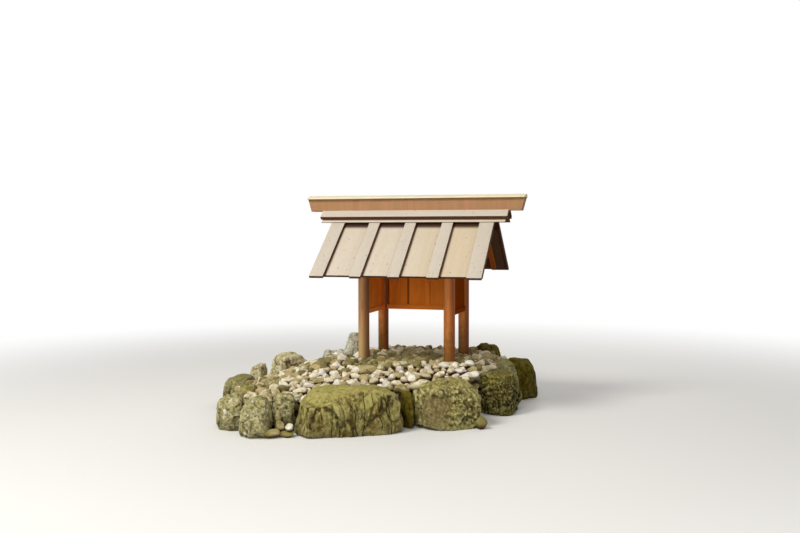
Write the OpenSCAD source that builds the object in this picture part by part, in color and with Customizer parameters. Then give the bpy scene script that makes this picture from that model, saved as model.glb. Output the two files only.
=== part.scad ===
// Small roofed shrine shelter on a raised bed of stones.
// Millimetres. X runs along the ridge, Y goes to the rear and Z is up.
// The origin is on the ground, midway between the four posts.

/* [Posts] */
// Diameter of each round post
post_d = 100; // [80:1:130]
// Distance between post centres along the ridge
post_pitch_x = 788; // [680:1:880]
// Distance between post centres from front to rear
post_pitch_y = 600; // [500:1:700]
// Height of the post heads above the bed
post_h = 800; // [650:1:1000]

/* [Frame] */
// Height of the cross ties on the post heads
tie_h = 80; // [60:1:110]
// Thickness of the cross ties
tie_w = 80; // [60:1:100]
// Length of a cross tie past the post centre
tie_over = 70; // [55:1:95]
// Height of the eaves plates on their centre line
plate_h = 87; // [70:1:120]
// Thickness of the eaves plates
plate_w = 90; // [70:1:110]
// Height of the ridge purlin up to its peak
purlin_h = 97; // [75:1:130]
// Thickness of the ridge purlin
purlin_w = 80; // [60:1:110]
// Thickness of the king struts
strut_w = 75; // [55:1:100]
// Distance that plates and purlin stop short of the verge
frame_inset = 140; // [100:1:150]

/* [Walls] */
// Height of the walls' foot above the bed
wall_foot = 390; // [250:1:500]
// Thickness of the wall boards
wall_t = 36; // [24:1:44]
// Depth of the groove that houses the boards in a post
groove_depth = 8; // [5:1:14]
// Width of each board in the rear wall
rear_board_w = 197; // [120:1:300]
// Number of boards in each side wall
side_boards = 3; // [2:1:4]
// Open joint between two boards
board_joint = 3; // [2:1:8]
// Height of the foot rail under the boards
rail_h = 45; // [35:1:70]
// Thickness of the foot rail
rail_w = 52; // [48:1:70]
// Width of the strip that covers one rear joint
strip_w = 49; // [30:1:70]
// Thickness of that strip
strip_t = 12; // [8:1:20]

/* [Roof] */
// Length of the roof from verge to verge
roof_l = 1515; // [1400:1:1650]
// Horizontal reach of the front slope from the ridge to the eave
front_reach = 716; // [640:1:800]
// Horizontal reach of the rear slope from the ridge to the eave
rear_reach = 684; // [640:1:760]
// Rise of the slope for each unit of run
roof_rise = 0.8; // [0.7:0.01:0.9]
// Depth of the rafters
rafter_h = 45; // [35:1:60]
// Width of the rafters
rafter_w = 42; // [30:1:60]
// Distance from the verge to the centre of the end rafters
rafter_inset = 125; // [100:1:150]
// Length that the boards run past the rafter tails
rafter_short = 50; // [40:1:80]
// Thickness of the roof boards
board_t = 20; // [16:1:30]
// Thickness of the battens over the board joints
batten_t = 24; // [16:1:34]
// Width of the inner battens
batten_w = 102; // [70:1:130]
// Width of the battens along the verges
verge_w = 127; // [90:1:170]
// Distance between the centres of the inner battens
batten_pitch = 341; // [320:1:380]
// Length that the battens run past the boards at the eave
batten_over = 38; // [0:1:60]

/* [Ridge] */
// Thickness of the lower ridge boards
low_board_t = 8; // [6:1:16]
// Length of the lower ridge boards
low_board_l = 1715; // [1600:1:1800]
// Horizontal reach of the lower ridge boards from the ridge
low_board_reach = 144; // [125:1:180]
// Thickness of the upper ridge boards
high_board_t = 32; // [24:1:40]
// Length of the upper ridge boards
high_board_l = 1747; // [1620:1:1840]
// Horizontal reach of the upper ridge boards from the ridge
high_board_reach = 132; // [120:1:160]
// Height of the ridge beam
beam_h = 110; // [90:1:160]
// Thickness of the ridge beam
beam_w = 120; // [100:1:150]
// Length of the ridge beam along its underside
beam_l = 1974; // [1850:1:2100]
// Length that each beam end leans out up to its top
beam_lean = 31; // [0:1:60]
// Depth of the notch that seats the beam on the ridge boards
beam_seat = 56; // [40:1:62]
// Length that the cap runs past the beam at front and rear
cap_over = 19; // [5:1:40]
// Height of the cap's upright edge
cap_edge = 20; // [6:1:30]
// Rise of the cap from its edge to its peak
cap_rise = 18; // [8:1:40]

/* [Stone bed] */
// Height of the bed at the posts
bed_h = 450; // [400:1:520]
// Height of the bed at its edge, in line with the posts' middle
edge_h = 310; // [260:1:340]
// Rise of that edge for each unit to the right
edge_tilt = 0.08; // [0.04:0.01:0.1]
// Reach of the bed's fill to the left of the middle
bed_left = 1480; // [1420:1:1560]
// Reach of the bed's fill to the right of the middle
bed_right = 760; // [730:1:800]
// Reach of the bed's fill to the front of the middle
bed_front = 1480; // [1430:1:1560]
// Reach of the bed's fill to the rear of the middle
bed_rear = 900; // [860:1:960]
// Usual depth of a border stone, measured outwards from the fill
stone_depth = 340; // [300:1:380]
// Depth that each stone is flattened where it backs on the bed
stone_bite = 60; // [40:1:90]
// Roughness of the stones as a share of their size
stone_rough = 0.07; // [0.02:0.01:0.1]
// Height of the pale stone beside the front left post
post_stone_h = 185; // [140:1:240]

/* [Hidden] */

$fn = 64;
// Clearance round each post, in its hole, groove and coped rail
fit = 0.3;
// Narrowest board that the rear wall may end with
narrowest_board = 40;
// Share of a boulder's height at which it is widest
waist = 0.42;
// Upward angles of the lowest and the highest ring of points on a boulder
low_ring = -40;
high_ring = 75;
LEFT = -1;
RIGHT = 1;
FRONT = -1;
REAR = 1;

// Heights of the frame, from the bed up
post_top = bed_h + post_h;
tie_top = post_top + tie_h;
rail_bottom = bed_h + wall_foot;
rail_top = rail_bottom + rail_h;

// The roof is described by its slope: a distance s down the slope from the ridge
// and a height n square to it, both from the peak of the rafters' underside.
slope_len = sqrt(1 + roof_rise * roof_rise);
slope_cos = 1 / slope_len;
slope_sin = roof_rise / slope_len;
peak_z = tie_top + plate_h + roof_rise * post_pitch_y / 2;
board_n = rafter_h;
batten_n = board_n + board_t;
low_board_n = batten_n + batten_t;
high_board_n = low_board_n + low_board_t;
roof_top_n = high_board_n + high_board_t;
frame_l = roof_l - 2 * frame_inset;

// The beam sits astride the upper ridge boards
roof_top_z = peak_z + roof_top_n / slope_cos;
beam_z = roof_top_z - beam_seat;
beam_top_z = beam_z + beam_h;

// A place on the bed, as shares of its reach to the right and to the rear of the middle,
// or to the left and to the front where a share is negative
function bed_point(u, v) = [u * (u < 0 ? bed_left : bed_right), v * (v < 0 ? bed_front : bed_rear)];

// Corners of the bed's fill, anticlockwise from the front left corner
BED_CORNERS = [
    bed_point(-0.68, -1), bed_point(-0.38, -0.9), bed_point(0.18, -0.64), bed_point(0.82, -0.41),
    bed_point(0.97, 0.07), bed_point(1, 0.67), bed_point(0.59, 0.96), bed_point(-0.14, 1),
    bed_point(-0.51, 0.82), bed_point(-0.74, 0.53), bed_point(-1, -0.04), bed_point(-1, -0.43)
];
// Corners of the level top round the posts
TOP_CORNERS = [
    bed_point(-0.46, -0.26), bed_point(-0.17, -0.38), bed_point(0.57, -0.31),
    bed_point(0.74, -0.08), bed_point(0.78, 0.49), bed_point(0.43, 0.71), bed_point(-0.3, 0.67),
    bed_point(-0.46, 0.36)
];

// Point at distance s down the slope and height n over it, as [reach, height]
function slope_point(s, n) = [s * slope_cos + n * slope_sin, peak_z - s * slope_sin + n * slope_cos];

// Height of the plane n over the rafters' underside, at a horizontal reach from the ridge
function slope_z(n, reach) = peak_z + n / slope_cos - roof_rise * reach;

// Distance down the slope at which the plane n has the given reach
function slope_s(n, reach) = (reach - n * slope_sin) / slope_cos;

// Distance down the slope at which the battens end
function eave_s(side) = slope_s(low_board_n, side == FRONT ? front_reach : rear_reach);

// Extrudes a front-to-rear profile along X, centred at x
module along_x(length, x = 0) {
    translate([x - length / 2, 0, 0])
        rotate([90, 0, 90])
            linear_extrude(length) children();
}

// One layer of a slope, upright at its inner end and square to the slope at its outer end
module slope_layer(side, length, x, n, thick, inner, outer_s) {
    along_x(length, x)
        polygon([for (p = [
            [inner, slope_z(n, inner)], [inner, slope_z(n + thick, inner)],
            slope_point(outer_s, n + thick), slope_point(outer_s, n)
        ]) [side * p[0], p[1]]]);
}

// Rods of the posts, wider by grow all round
module post_rods(grow) {
    for (x = [LEFT, RIGHT], y = [FRONT, REAR])
        translate([x * post_pitch_x / 2, y * post_pitch_y / 2, 0])
            cylinder(h = post_top, d = post_d + 2 * grow);
}

// Boards of the three walls as full slabs between the post centres, wider by grow
module wall_slabs(grow) {
    t = wall_t + 2 * grow;
    reach = groove_depth + grow - post_d / 2;
    height = post_top - rail_top + grow;
    for (x = [LEFT, RIGHT])
        translate([x * post_pitch_x / 2 - t / 2, -post_pitch_y / 2 - reach, rail_top - grow])
            cube([t, post_pitch_y + 2 * reach, height]);
    translate([-post_pitch_x / 2 - reach, post_pitch_y / 2 - t / 2, rail_top - grow])
        cube([post_pitch_x + 2 * reach, t, height]);
}

// A post runs down through the bed and is grooved for the wall boards
module post(x, y) {
    color("#B08A5C")
    difference() {
        translate([x * post_pitch_x / 2, y * post_pitch_y / 2, 0])
            cylinder(h = post_top, d = post_d);
        wall_slabs(fit);
    }
}

// Body of a cross tie, wider by grow at both sides
module tie_bar(x, grow) {
    length = post_pitch_y + 2 * tie_over;
    translate([x * post_pitch_x / 2 - tie_w / 2 - grow, -length / 2, post_top])
        cube([tie_w + 2 * grow, length, tie_h]);
}

// A cross tie lies on a front and a rear post head
module tie(x) {
    color("#A5743F") tie_bar(x, 0);
}

// An eaves plate lies on the tie ends, its top planed to the slope
module plate(side) {
    inner = post_pitch_y / 2 - plate_w / 2;
    outer = post_pitch_y / 2 + plate_w / 2;
    color("#A5743F")
    along_x(frame_l)
        polygon([
            [side * inner, tie_top], [side * outer, tie_top],
            [side * outer, slope_z(0, outer)], [side * inner, slope_z(0, inner)]
        ]);
}

// The ridge purlin is planed to both slopes
module ridge_purlin() {
    half = purlin_w / 2;
    bottom = peak_z - purlin_h;
    color("#A5743F")
    along_x(frame_l)
        polygon([
            [-half, bottom], [half, bottom], [half, slope_z(0, half)],
            [0, peak_z], [-half, slope_z(0, half)]
        ]);
}

// A king strut stands on a tie and carries the purlin
module king_strut(x) {
    color("#A5743F")
    translate([x * post_pitch_x / 2 - strut_w / 2, -strut_w / 2, tie_top])
        cube([strut_w, strut_w, peak_z - purlin_h - tie_top]);
}

// Rafters lie under the inner battens and near both verges
module rafters(side) {
    verge_x = roof_l / 2 - rafter_inset;
    color("#B5793F")
    for (x = [-verge_x, -batten_pitch, 0, batten_pitch, verge_x])
        slope_layer(side, rafter_w, x, 0, rafter_h, 0, eave_s(side) - batten_over - rafter_short);
}

// Wide roof boards run down the slope and meet under the inner battens
module roof_boards(side) {
    edges = [-roof_l / 2, -batten_pitch, 0, batten_pitch, roof_l / 2];
    color("#D9CDB6")
    for (i = [0:len(edges) - 2]) {
        first = edges[i] + (i == 0 ? 0 : board_joint / 2);
        last = edges[i + 1] - (i == len(edges) - 2 ? 0 : board_joint / 2);
        slope_layer(side, last - first, (first + last) / 2, board_n, board_t, 0,
            eave_s(side) - batten_over);
    }
}

// Battens cover the board joints and the outer edges
module battens(side) {
    color("#E0D5C0") {
        for (x = [-batten_pitch, 0, batten_pitch])
            slope_layer(side, batten_w, x, batten_n, batten_t, 0, eave_s(side));
        for (x = [LEFT, RIGHT])
            slope_layer(side, verge_w, x * (roof_l - verge_w) / 2, batten_n, batten_t, 0, eave_s(side));
    }
}

// The lower ridge board lies on the battens, up to the ridge
module ridge_board_low(side) {
    color("#D9CDB6")
    slope_layer(side, low_board_l, 0, low_board_n, low_board_t, 0,
        slope_s(high_board_n, low_board_reach));
}

// The upper ridge board lies on the lower one, up to the ridge
module ridge_board_high(side) {
    color("#E4DAC4")
    slope_layer(side, high_board_l, 0, high_board_n, high_board_t, 0,
        slope_s(roof_top_n, high_board_reach));
}

// Side view of the beam, its lean carried on up to the given height
module beam_side(z_low, z_high) {
    lean = beam_lean / beam_h;
    low = beam_l / 2 + lean * (z_low - beam_z);
    high = beam_l / 2 + lean * (z_high - beam_z);
    polygon([[-low, z_low], [low, z_low], [high, z_high], [-high, z_high]]);
}

// The ridge beam is notched underneath for the ridge boards
module ridge_beam() {
    color("#B08058")
    difference() {
        translate([0, beam_w / 2, 0])
            rotate([90, 0, 0])
                linear_extrude(beam_w) beam_side(beam_z, beam_top_z);
        along_x(max(low_board_l, high_board_l) + 2 * fit)
            polygon([
                [-beam_w, slope_z(roof_top_n, beam_w)], [beam_w, slope_z(roof_top_n, beam_w)],
                [0, roof_top_z]
            ]);
    }
}

// The cap sheds water to both sides and ends with the beam's lean
module ridge_cap() {
    half = beam_w / 2 + cap_over;
    edge_top = beam_top_z + cap_edge;
    peak = edge_top + cap_rise;
    color("#EFE4C6")
    intersection() {
        along_x(2 * beam_l)
            polygon([
                [-half, beam_top_z], [half, beam_top_z], [half, edge_top], [0, peak], [-half, edge_top]
            ]);
        translate([0, beam_w, 0])
            rotate([90, 0, 0])
                linear_extrude(2 * beam_w) beam_side(beam_top_z, peak);
    }
}

// A foot rail between a front and a rear post, coped to both
module side_rail(x) {
    color("#8E4A1C")
    difference() {
        translate([x * post_pitch_x / 2 - rail_w / 2, -post_pitch_y / 2, rail_bottom])
            cube([rail_w, post_pitch_y, rail_h]);
        post_rods(fit);
    }
}

// The foot rail between the rear posts
module rear_rail() {
    color("#8E4A1C")
    difference() {
        translate([-post_pitch_x / 2, post_pitch_y / 2 - rail_w / 2, rail_bottom])
            cube([post_pitch_x, rail_w, rail_h]);
        post_rods(fit);
    }
}

// Upright boards of a side wall, from the rail to the tie
module side_wall(x) {
    span = post_pitch_y - post_d + 2 * groove_depth;
    pitch = span / side_boards;
    color("#A5602A")
    for (i = [0:side_boards - 1])
        translate([
            x * post_pitch_x / 2 - wall_t / 2,
            -span / 2 + i * pitch + (i == 0 ? 0 : board_joint / 2),
            rail_top
        ])
            cube([wall_t, pitch - (i == 0 || i == side_boards - 1 ? board_joint / 2 : board_joint),
                post_top - rail_top]);
}

// Joints between the rear boards, counted from the left post's inner side
rear_span = post_pitch_x - post_d;
rear_joints = [for (x = [-rear_span / 2 + rear_board_w:rear_board_w:rear_span / 2 - narrowest_board]) x];

// Upright boards of the rear wall, from the rail to the plate and cut round the ties
module wall_rear() {
    half = rear_span / 2 + groove_depth;
    starts = concat([-half], [for (x = rear_joints) x + board_joint / 2]);
    ends = concat([for (x = rear_joints) x - board_joint / 2], [half]);
    color("#9A5524")
    difference() {
        for (i = [0:len(starts) - 1])
            translate([starts[i], post_pitch_y / 2 - wall_t / 2, rail_top])
                cube([ends[i] - starts[i], wall_t, tie_top - rail_top]);
        for (x = [LEFT, RIGHT])
            tie_bar(x, fit);
    }
}

// The strip that covers one rear joint on the inner side
module rear_strip() {
    joint = rear_joints[min(1, len(rear_joints) - 1)];
    color("#A5602A")
    translate([joint - strip_w / 2, post_pitch_y / 2 - wall_t / 2 - strip_t, rail_top])
        cube([strip_w, strip_t, tie_top - rail_top]);
}

// Convex solid round a list of points
module solid_round(points) {
    hull() polyhedron(points, [[for (i = [0:len(points) - 1]) i]]);
}

// Height of the bed's edge at x
function edge_z(x) = edge_h + edge_tilt * x;

// The bed's fill slopes up from its edge to the level top, with holes for the posts
module bed_fill() {
    color("#D8D0B8")
    difference() {
        solid_round(concat(
            [for (p = BED_CORNERS) [p[0], p[1], 0]],
            [for (p = BED_CORNERS) [p[0], p[1], edge_z(p[0])]],
            [for (p = TOP_CORNERS) [p[0], p[1], bed_h]]
        ));
        post_rods(fit);
    }
}

// Keeps the sign of a number and raises its size to a power
function signed_pow(v, power) = sign(v) * pow(abs(v), power);

// Points of a rough boulder that stands on z = 0 and is flat behind y = 0.
// It is a squared-off ellipsoid of length x depth x height, its radius varied at random.
// Its top is drawn in at the left, the right and the front by the shares in draw.
function boulder_points(size, bite, seed, square, draw) =
    let (
        rings = 6,
        steps = 13,
        noise = rands(-stone_rough, stone_rough, rings * steps + 1, seed),
        middle_y = bite - size[1] / 2,
        middle_z = size[2] * waist
    )
    concat(
        [[0, middle_y * (1 - draw[2]), size[2]]],
        [for (i = [0:rings - 1], j = [0:steps - 1])
            let (
                up = low_ring + (high_ring - low_ring) * i / (rings - 1),
                round = 360 * (j + 0.5 * (i % 2)) / steps,
                radius = 1 + noise[i * steps + j],
                out = signed_pow(cos(up), square) * radius,
                x = size[0] / 2 * out * signed_pow(cos(round), square),
                y = min(middle_y + size[1] / 2 * out * signed_pow(sin(round), square), 0),
                rise = middle_z + size[2] * (1 - waist) * signed_pow(sin(up), square) * radius,
                z = i == 0 ? 0 : min(max(rise, 0), size[2]),
                high = z / size[2]
            )
            [x * (1 - high * draw[x < 0 ? 0 : 1]), y * (1 - high * draw[2]), z]
        ]
    );

// A border stone backs on one side of the bed, centred at a share of that side's length.
// Its size is given as shares of the side's length, of stone_depth and of edge_h.
module border_stone(side, share, size, seed, square = 0.7, draw = [0.05, 0.05, 0.1]) {
    a = BED_CORNERS[side];
    b = BED_CORNERS[(side + 1) % len(BED_CORNERS)];
    along = b - a;
    scaled = [size[0] * norm(along), size[1] * stone_depth + stone_bite, size[2] * edge_h];
    translate([a[0] + share * along[0], a[1] + share * along[1], 0])
        rotate([0, 0, atan2(along[1], along[0])])
            solid_round(boulder_points(scaled, stone_bite, seed, square, draw));
}

module stone_front_corner() {
    color("#8C8A5A") border_stone(0, 0.24, [0.54, 1.06, 0.94], 11, 0.65, [0.15, 0.2, 0.1]);
}
module stone_front_wedge() {
    color("#6E6C42") border_stone(0, 0.673, [0.36, 0.4, 0.98], 12, 0.55, [0.1, 0, 0]);
}
module stone_front_long() {
    color("#86834C") border_stone(1, 0.415, [1.09, 1.08, 1.14], 13, 0.45, [0.26, 0.11, 0.22]);
}
module stone_front_broad() {
    color("#8E8A54") border_stone(2, 0.57, [0.92, 1.03, 1.15], 14, 0.42, [0.2, 0.05, 0.2]);
}
module stone_front_gap() {
    color("#5F6236") border_stone(2, 0.03, [0.14, 0.6, 0.98], 26, 0.6, [0, 0, 0.1]);
}
module stone_right_front() {
    color("#45471F") border_stone(3, 0.65, [0.62, 0.88, 1.16], 15, 0.65, [0.18, 0.12, 0.14]);
}
module stone_right_flat() {
    color("#5F6236") border_stone(4, 0.14, [0.42, 0.62, 1.34], 16, 0.6, [0.1, 0.1, 0.2]);
}
module stone_right_tall() {
    color("#6B6A34") border_stone(4, 0.92, [0.62, 0.9, 1.2], 17, 0.6, [0.14, 0.08, 0.2]);
}
module stone_rear_right() {
    color("#6B6A34") border_stone(5, 0.97, [0.88, 0.65, 1.46], 18);
}
module stone_rear_middle() {
    color("#7A7748") border_stone(6, 0.6, [0.74, 0.8, 1.02], 19);
}
module stone_rear_left() {
    color("#7A7748") border_stone(7, 0.5, [0.88, 0.77, 1], 20);
}
module stone_rear_corner() {
    color("#7A7748") border_stone(8, 0.62, [0.78, 0.71, 1.22], 21);
}
module stone_left_pitted() {
    color("#A3A57A") border_stone(9, 0.5, [0.6, 0.8, 1.21], 22, 0.65, [0.1, 0.1, 0.2]);
}
module stone_left_upper() {
    color("#A8A07C") border_stone(10, -0.02, [0.36, 0.5, 1], 27, 0.7, [0.1, 0.1, 0.3]);
}
module stone_left_long() {
    color("#8C8C60") border_stone(10, 0.585, [0.78, 0.65, 0.8], 23, 0.65, [0.05, 0.25, 0.1]);
}
module stone_left_corner() {
    color("#8C8A5A") border_stone(11, 0.835, [0.38, 0.64, 0.84], 24, 0.65, [0.15, 0.1, 0.1]);
}

// A pale stone that stands on the level top beside the front left post
module stone_by_post() {
    size = [0.95, 1.1, 1] * post_stone_h;
    color("#B5B593")
    translate([-0.695 * post_pitch_x, -0.05 * post_pitch_y, bed_h])
        solid_round(boulder_points(size, 0, 25, 0.7, [0.45, 0.1, 0.1]));
}

post(LEFT, FRONT);  // post_front_left
post(RIGHT, FRONT);  // post_front_right
post(LEFT, REAR);  // post_rear_left
post(RIGHT, REAR);  // post_rear_right
tie(LEFT);  // tie_left
tie(RIGHT);  // tie_right
plate(FRONT);  // plate_front
plate(REAR);  // plate_rear
king_strut(LEFT);  // king_strut_left
king_strut(RIGHT);  // king_strut_right
ridge_purlin();
rafters(FRONT);  // rafters_front
rafters(REAR);  // rafters_rear
roof_boards(FRONT);  // roof_boards_front
roof_boards(REAR);  // roof_boards_rear
battens(FRONT);  // battens_front
battens(REAR);  // battens_rear
ridge_board_low(FRONT);  // ridge_board_low_front
ridge_board_low(REAR);  // ridge_board_low_rear
ridge_board_high(FRONT);  // ridge_board_high_front
ridge_board_high(REAR);  // ridge_board_high_rear
ridge_beam();
ridge_cap();
side_rail(LEFT);  // foot_rail_left
side_rail(RIGHT);  // foot_rail_right
rear_rail();  // foot_rail_rear
side_wall(LEFT);  // wall_left
side_wall(RIGHT);  // wall_right
wall_rear();
rear_strip();
bed_fill();
stone_front_corner();
stone_left_corner();
stone_front_wedge();
stone_front_long();
stone_front_gap();
stone_front_broad();
stone_right_front();
stone_right_flat();
stone_right_tall();
stone_rear_right();
stone_rear_middle();
stone_rear_left();
stone_rear_corner();
stone_left_pitted();
stone_left_upper();
stone_left_long();
stone_by_post();
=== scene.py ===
"""Dresses a small roofed shrine shelter on its bed of cobbles and boulders.

The timber frame, the boarded roof, the walls, the boulders and the cobbles are
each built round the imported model's own nodes, in metres, in the same frame.
"""

from __future__ import annotations

import logging
import math
from collections.abc import Iterable, Iterator, Sequence
from dataclasses import dataclass, field, replace
from enum import Enum

import bpy
import numpy as np
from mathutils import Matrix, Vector
from mathutils.geometry import convex_hull_2d


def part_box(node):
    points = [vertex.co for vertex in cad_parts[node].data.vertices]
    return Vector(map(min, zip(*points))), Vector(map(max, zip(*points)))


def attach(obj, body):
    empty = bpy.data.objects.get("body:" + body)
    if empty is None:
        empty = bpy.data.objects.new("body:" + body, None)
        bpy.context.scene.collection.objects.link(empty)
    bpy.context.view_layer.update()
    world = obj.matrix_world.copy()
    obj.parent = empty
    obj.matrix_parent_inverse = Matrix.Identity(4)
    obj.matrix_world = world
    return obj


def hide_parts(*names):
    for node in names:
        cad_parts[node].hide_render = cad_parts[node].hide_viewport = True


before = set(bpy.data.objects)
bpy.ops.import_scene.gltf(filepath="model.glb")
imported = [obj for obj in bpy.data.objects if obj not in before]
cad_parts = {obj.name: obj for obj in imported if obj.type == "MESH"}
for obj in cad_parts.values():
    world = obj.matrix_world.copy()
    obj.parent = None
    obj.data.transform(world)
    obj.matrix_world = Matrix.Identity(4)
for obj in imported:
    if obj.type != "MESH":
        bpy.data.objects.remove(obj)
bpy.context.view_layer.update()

LOG = logging.getLogger("shelter")
MM = 0.001
ROOT = "root"
SMOOTH = {"interpolation_type": "SMOOTHSTEP"}
TABLE_ROWS = 4096  # rows of a table of random numbers, a power of two
X_AXIS, Y_AXIS, Z_AXIS = AXES = (1.0, 0.0, 0.0), (0.0, 1.0, 0.0), (0.0, 0.0, 1.0)
Array = np.ndarray
Point = tuple[float, float, float]
Span = tuple[float, float]
Socket = bpy.types.NodeSocket


# Colour and node helpers


def linear(code: str) -> tuple[float, ...]:
    """Turns an sRGB hex colour into the linear colour that the shaders take.

    Args:
        code: The colour as six hex digits after a hash sign.

    Returns:
        Linear red, green and blue, with an alpha of 1.
    """
    values = [int(code[i : i + 2], 16) / 255 for i in (1, 3, 5)]
    parts = [v / 12.92 if v <= 0.04045 else ((v + 0.055) / 1.055) ** 2.4 for v in values]
    return (parts[0], parts[1], parts[2], 1.0)


def add_node(
    tree: bpy.types.NodeTree,
    kind: str,
    inputs: dict[int | str, object] | None = None,
    output: int | str = 0,
    **settings: object,
) -> Socket:
    """Adds one node with its settings, its input values and its links.

    Args:
        tree: The node tree that takes the node.
        kind: The node's type name, without the word ShaderNode.
        inputs: Values, hex colours or sockets for the node's inputs.
        output: The output to give back, by index or name.
        **settings: Attributes to set on the node itself.

    Returns:
        The chosen output socket.
    """
    node = tree.nodes.new(f"ShaderNode{kind}")
    for name, value in settings.items():
        setattr(node, name, value)
    for key, value in (inputs or {}).items():
        if isinstance(value, Socket):
            tree.links.new(value, node.inputs[key])
        else:
            node.inputs[key].default_value = linear(value) if isinstance(value, str) else value
    return node.outputs[output] if node.outputs else None


def rise(value: object, low: float, high: float, top: float = 1.0) -> dict[str, object]:
    """Gives a map range's inputs for a step that turns low to high into 0 to top.

    Args:
        value: The value to read.
        low: Where the step starts; above high, it falls.
        high: Where it has its full height.
        top: The full height.

    Returns:
        The inputs by name.
    """
    start, end = (0.0, top) if low < high else (top, 0.0)
    ends = {"From Min": min(low, high), "From Max": max(low, high)}
    return {"Value": value, **ends, "To Min": start, "To Max": end}


class Pattern:
    """The node tree of one material, with the patterns that several finishes share."""

    def __init__(self, name: str) -> None:
        """Starts an empty material.

        Args:
            name: The material's name.
        """
        self.material = bpy.data.materials.new(name)
        self.material.use_nodes = True
        self.tree = self.material.node_tree
        self.tree.nodes.clear()
        self.place = self.add("TexCoord", output="Object")

    def add(
        self,
        kind: str,
        inputs: dict[int | str, object] | None = None,
        output: int | str = 0,
        **settings: object,
    ) -> Socket:
        """Adds one node to this material's tree; see add_node."""
        return add_node(self.tree, kind, inputs, output, **settings)

    def patches(
        self,
        vector: object,
        size: float,
        low: float,
        high: float,
        detail: float = 4.0,
        stretch: Point = (1.0, 1.0, 1.0),
        shift: float = 0.0,
    ) -> Socket:
        """Gives soft-edged patches: noise whose range from low to high becomes 0 to 1.

        Args:
            vector: The place to read it at, in metres.
            size: The width of one patch, in metres.
            low: The noise value that becomes 0.
            high: The noise value that becomes 1; below low, the patches are inverted.
            detail: Number of finer layers.
            stretch: How much narrower than size the patches are along each axis.
            shift: How far they are moved along X, in patches.

        Returns:
            The pattern's socket.
        """
        moved = {0: vector, 1: [s / size for s in stretch], 2: (shift, 0.0, 0.0)}
        spot = self.add("VectorMath", moved, operation="MULTIPLY_ADD")
        noise = self.add("TexNoise", {"Vector": spot, "Scale": 1.0, "Detail": detail, "Roughness": 0.6})
        return self.add("MapRange", rise(noise, low, high), **SMOOTH)

    def ragged(self, value: object, size: float, amount: float) -> Socket:
        """Adds up to an amount to a value, by patches of a size, so that an edge in it is ragged."""
        edge = {0: self.patches(self.place, size, 0.3, 0.7), 1: amount, 2: value}
        return self.add("Math", edge, operation="MULTIPLY_ADD")

    def layer(self, share: object, strength: float, below: object, above: object) -> Socket:
        """Mixes a share of the colour above, times its strength, with the colour below."""
        scaled = self.add("Math", {0: share, 1: strength}, operation="MULTIPLY")
        return self.add("Mix", {"Factor": scaled, 6: below, 7: above}, 2, data_type="RGBA")

    def fade(self, value: object, span: Span, strength: float, below: object, above: object) -> Socket:
        """Lays one colour over another as a value goes from the span's first to its second number."""
        return self.layer(self.add("MapRange", rise(value, *span), **SMOOTH), strength, below, above)

    def finish(
        self, colour: object, roughness: float, height: object, depth: float, specular: float
    ) -> bpy.types.Material:
        """Links the pattern to a shader.

        Args:
            colour: The base colour's socket.
            roughness: The roughness.
            height: The relief's socket, 0 to 1.
            depth: The relief's full depth, in metres.
            specular: The strength of the gloss.

        Returns:
            The finished material.
        """
        bump = self.add("Bump", {"Strength": 1.0, "Distance": depth, "Height": height})
        surface = {
            "Base Color": colour, "Roughness": roughness, "Normal": bump, "Specular IOR Level": specular,
        }
        self.add("OutputMaterial", {"Surface": self.add("BsdfPrincipled", surface)})
        return self.material


# Finishes


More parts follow.
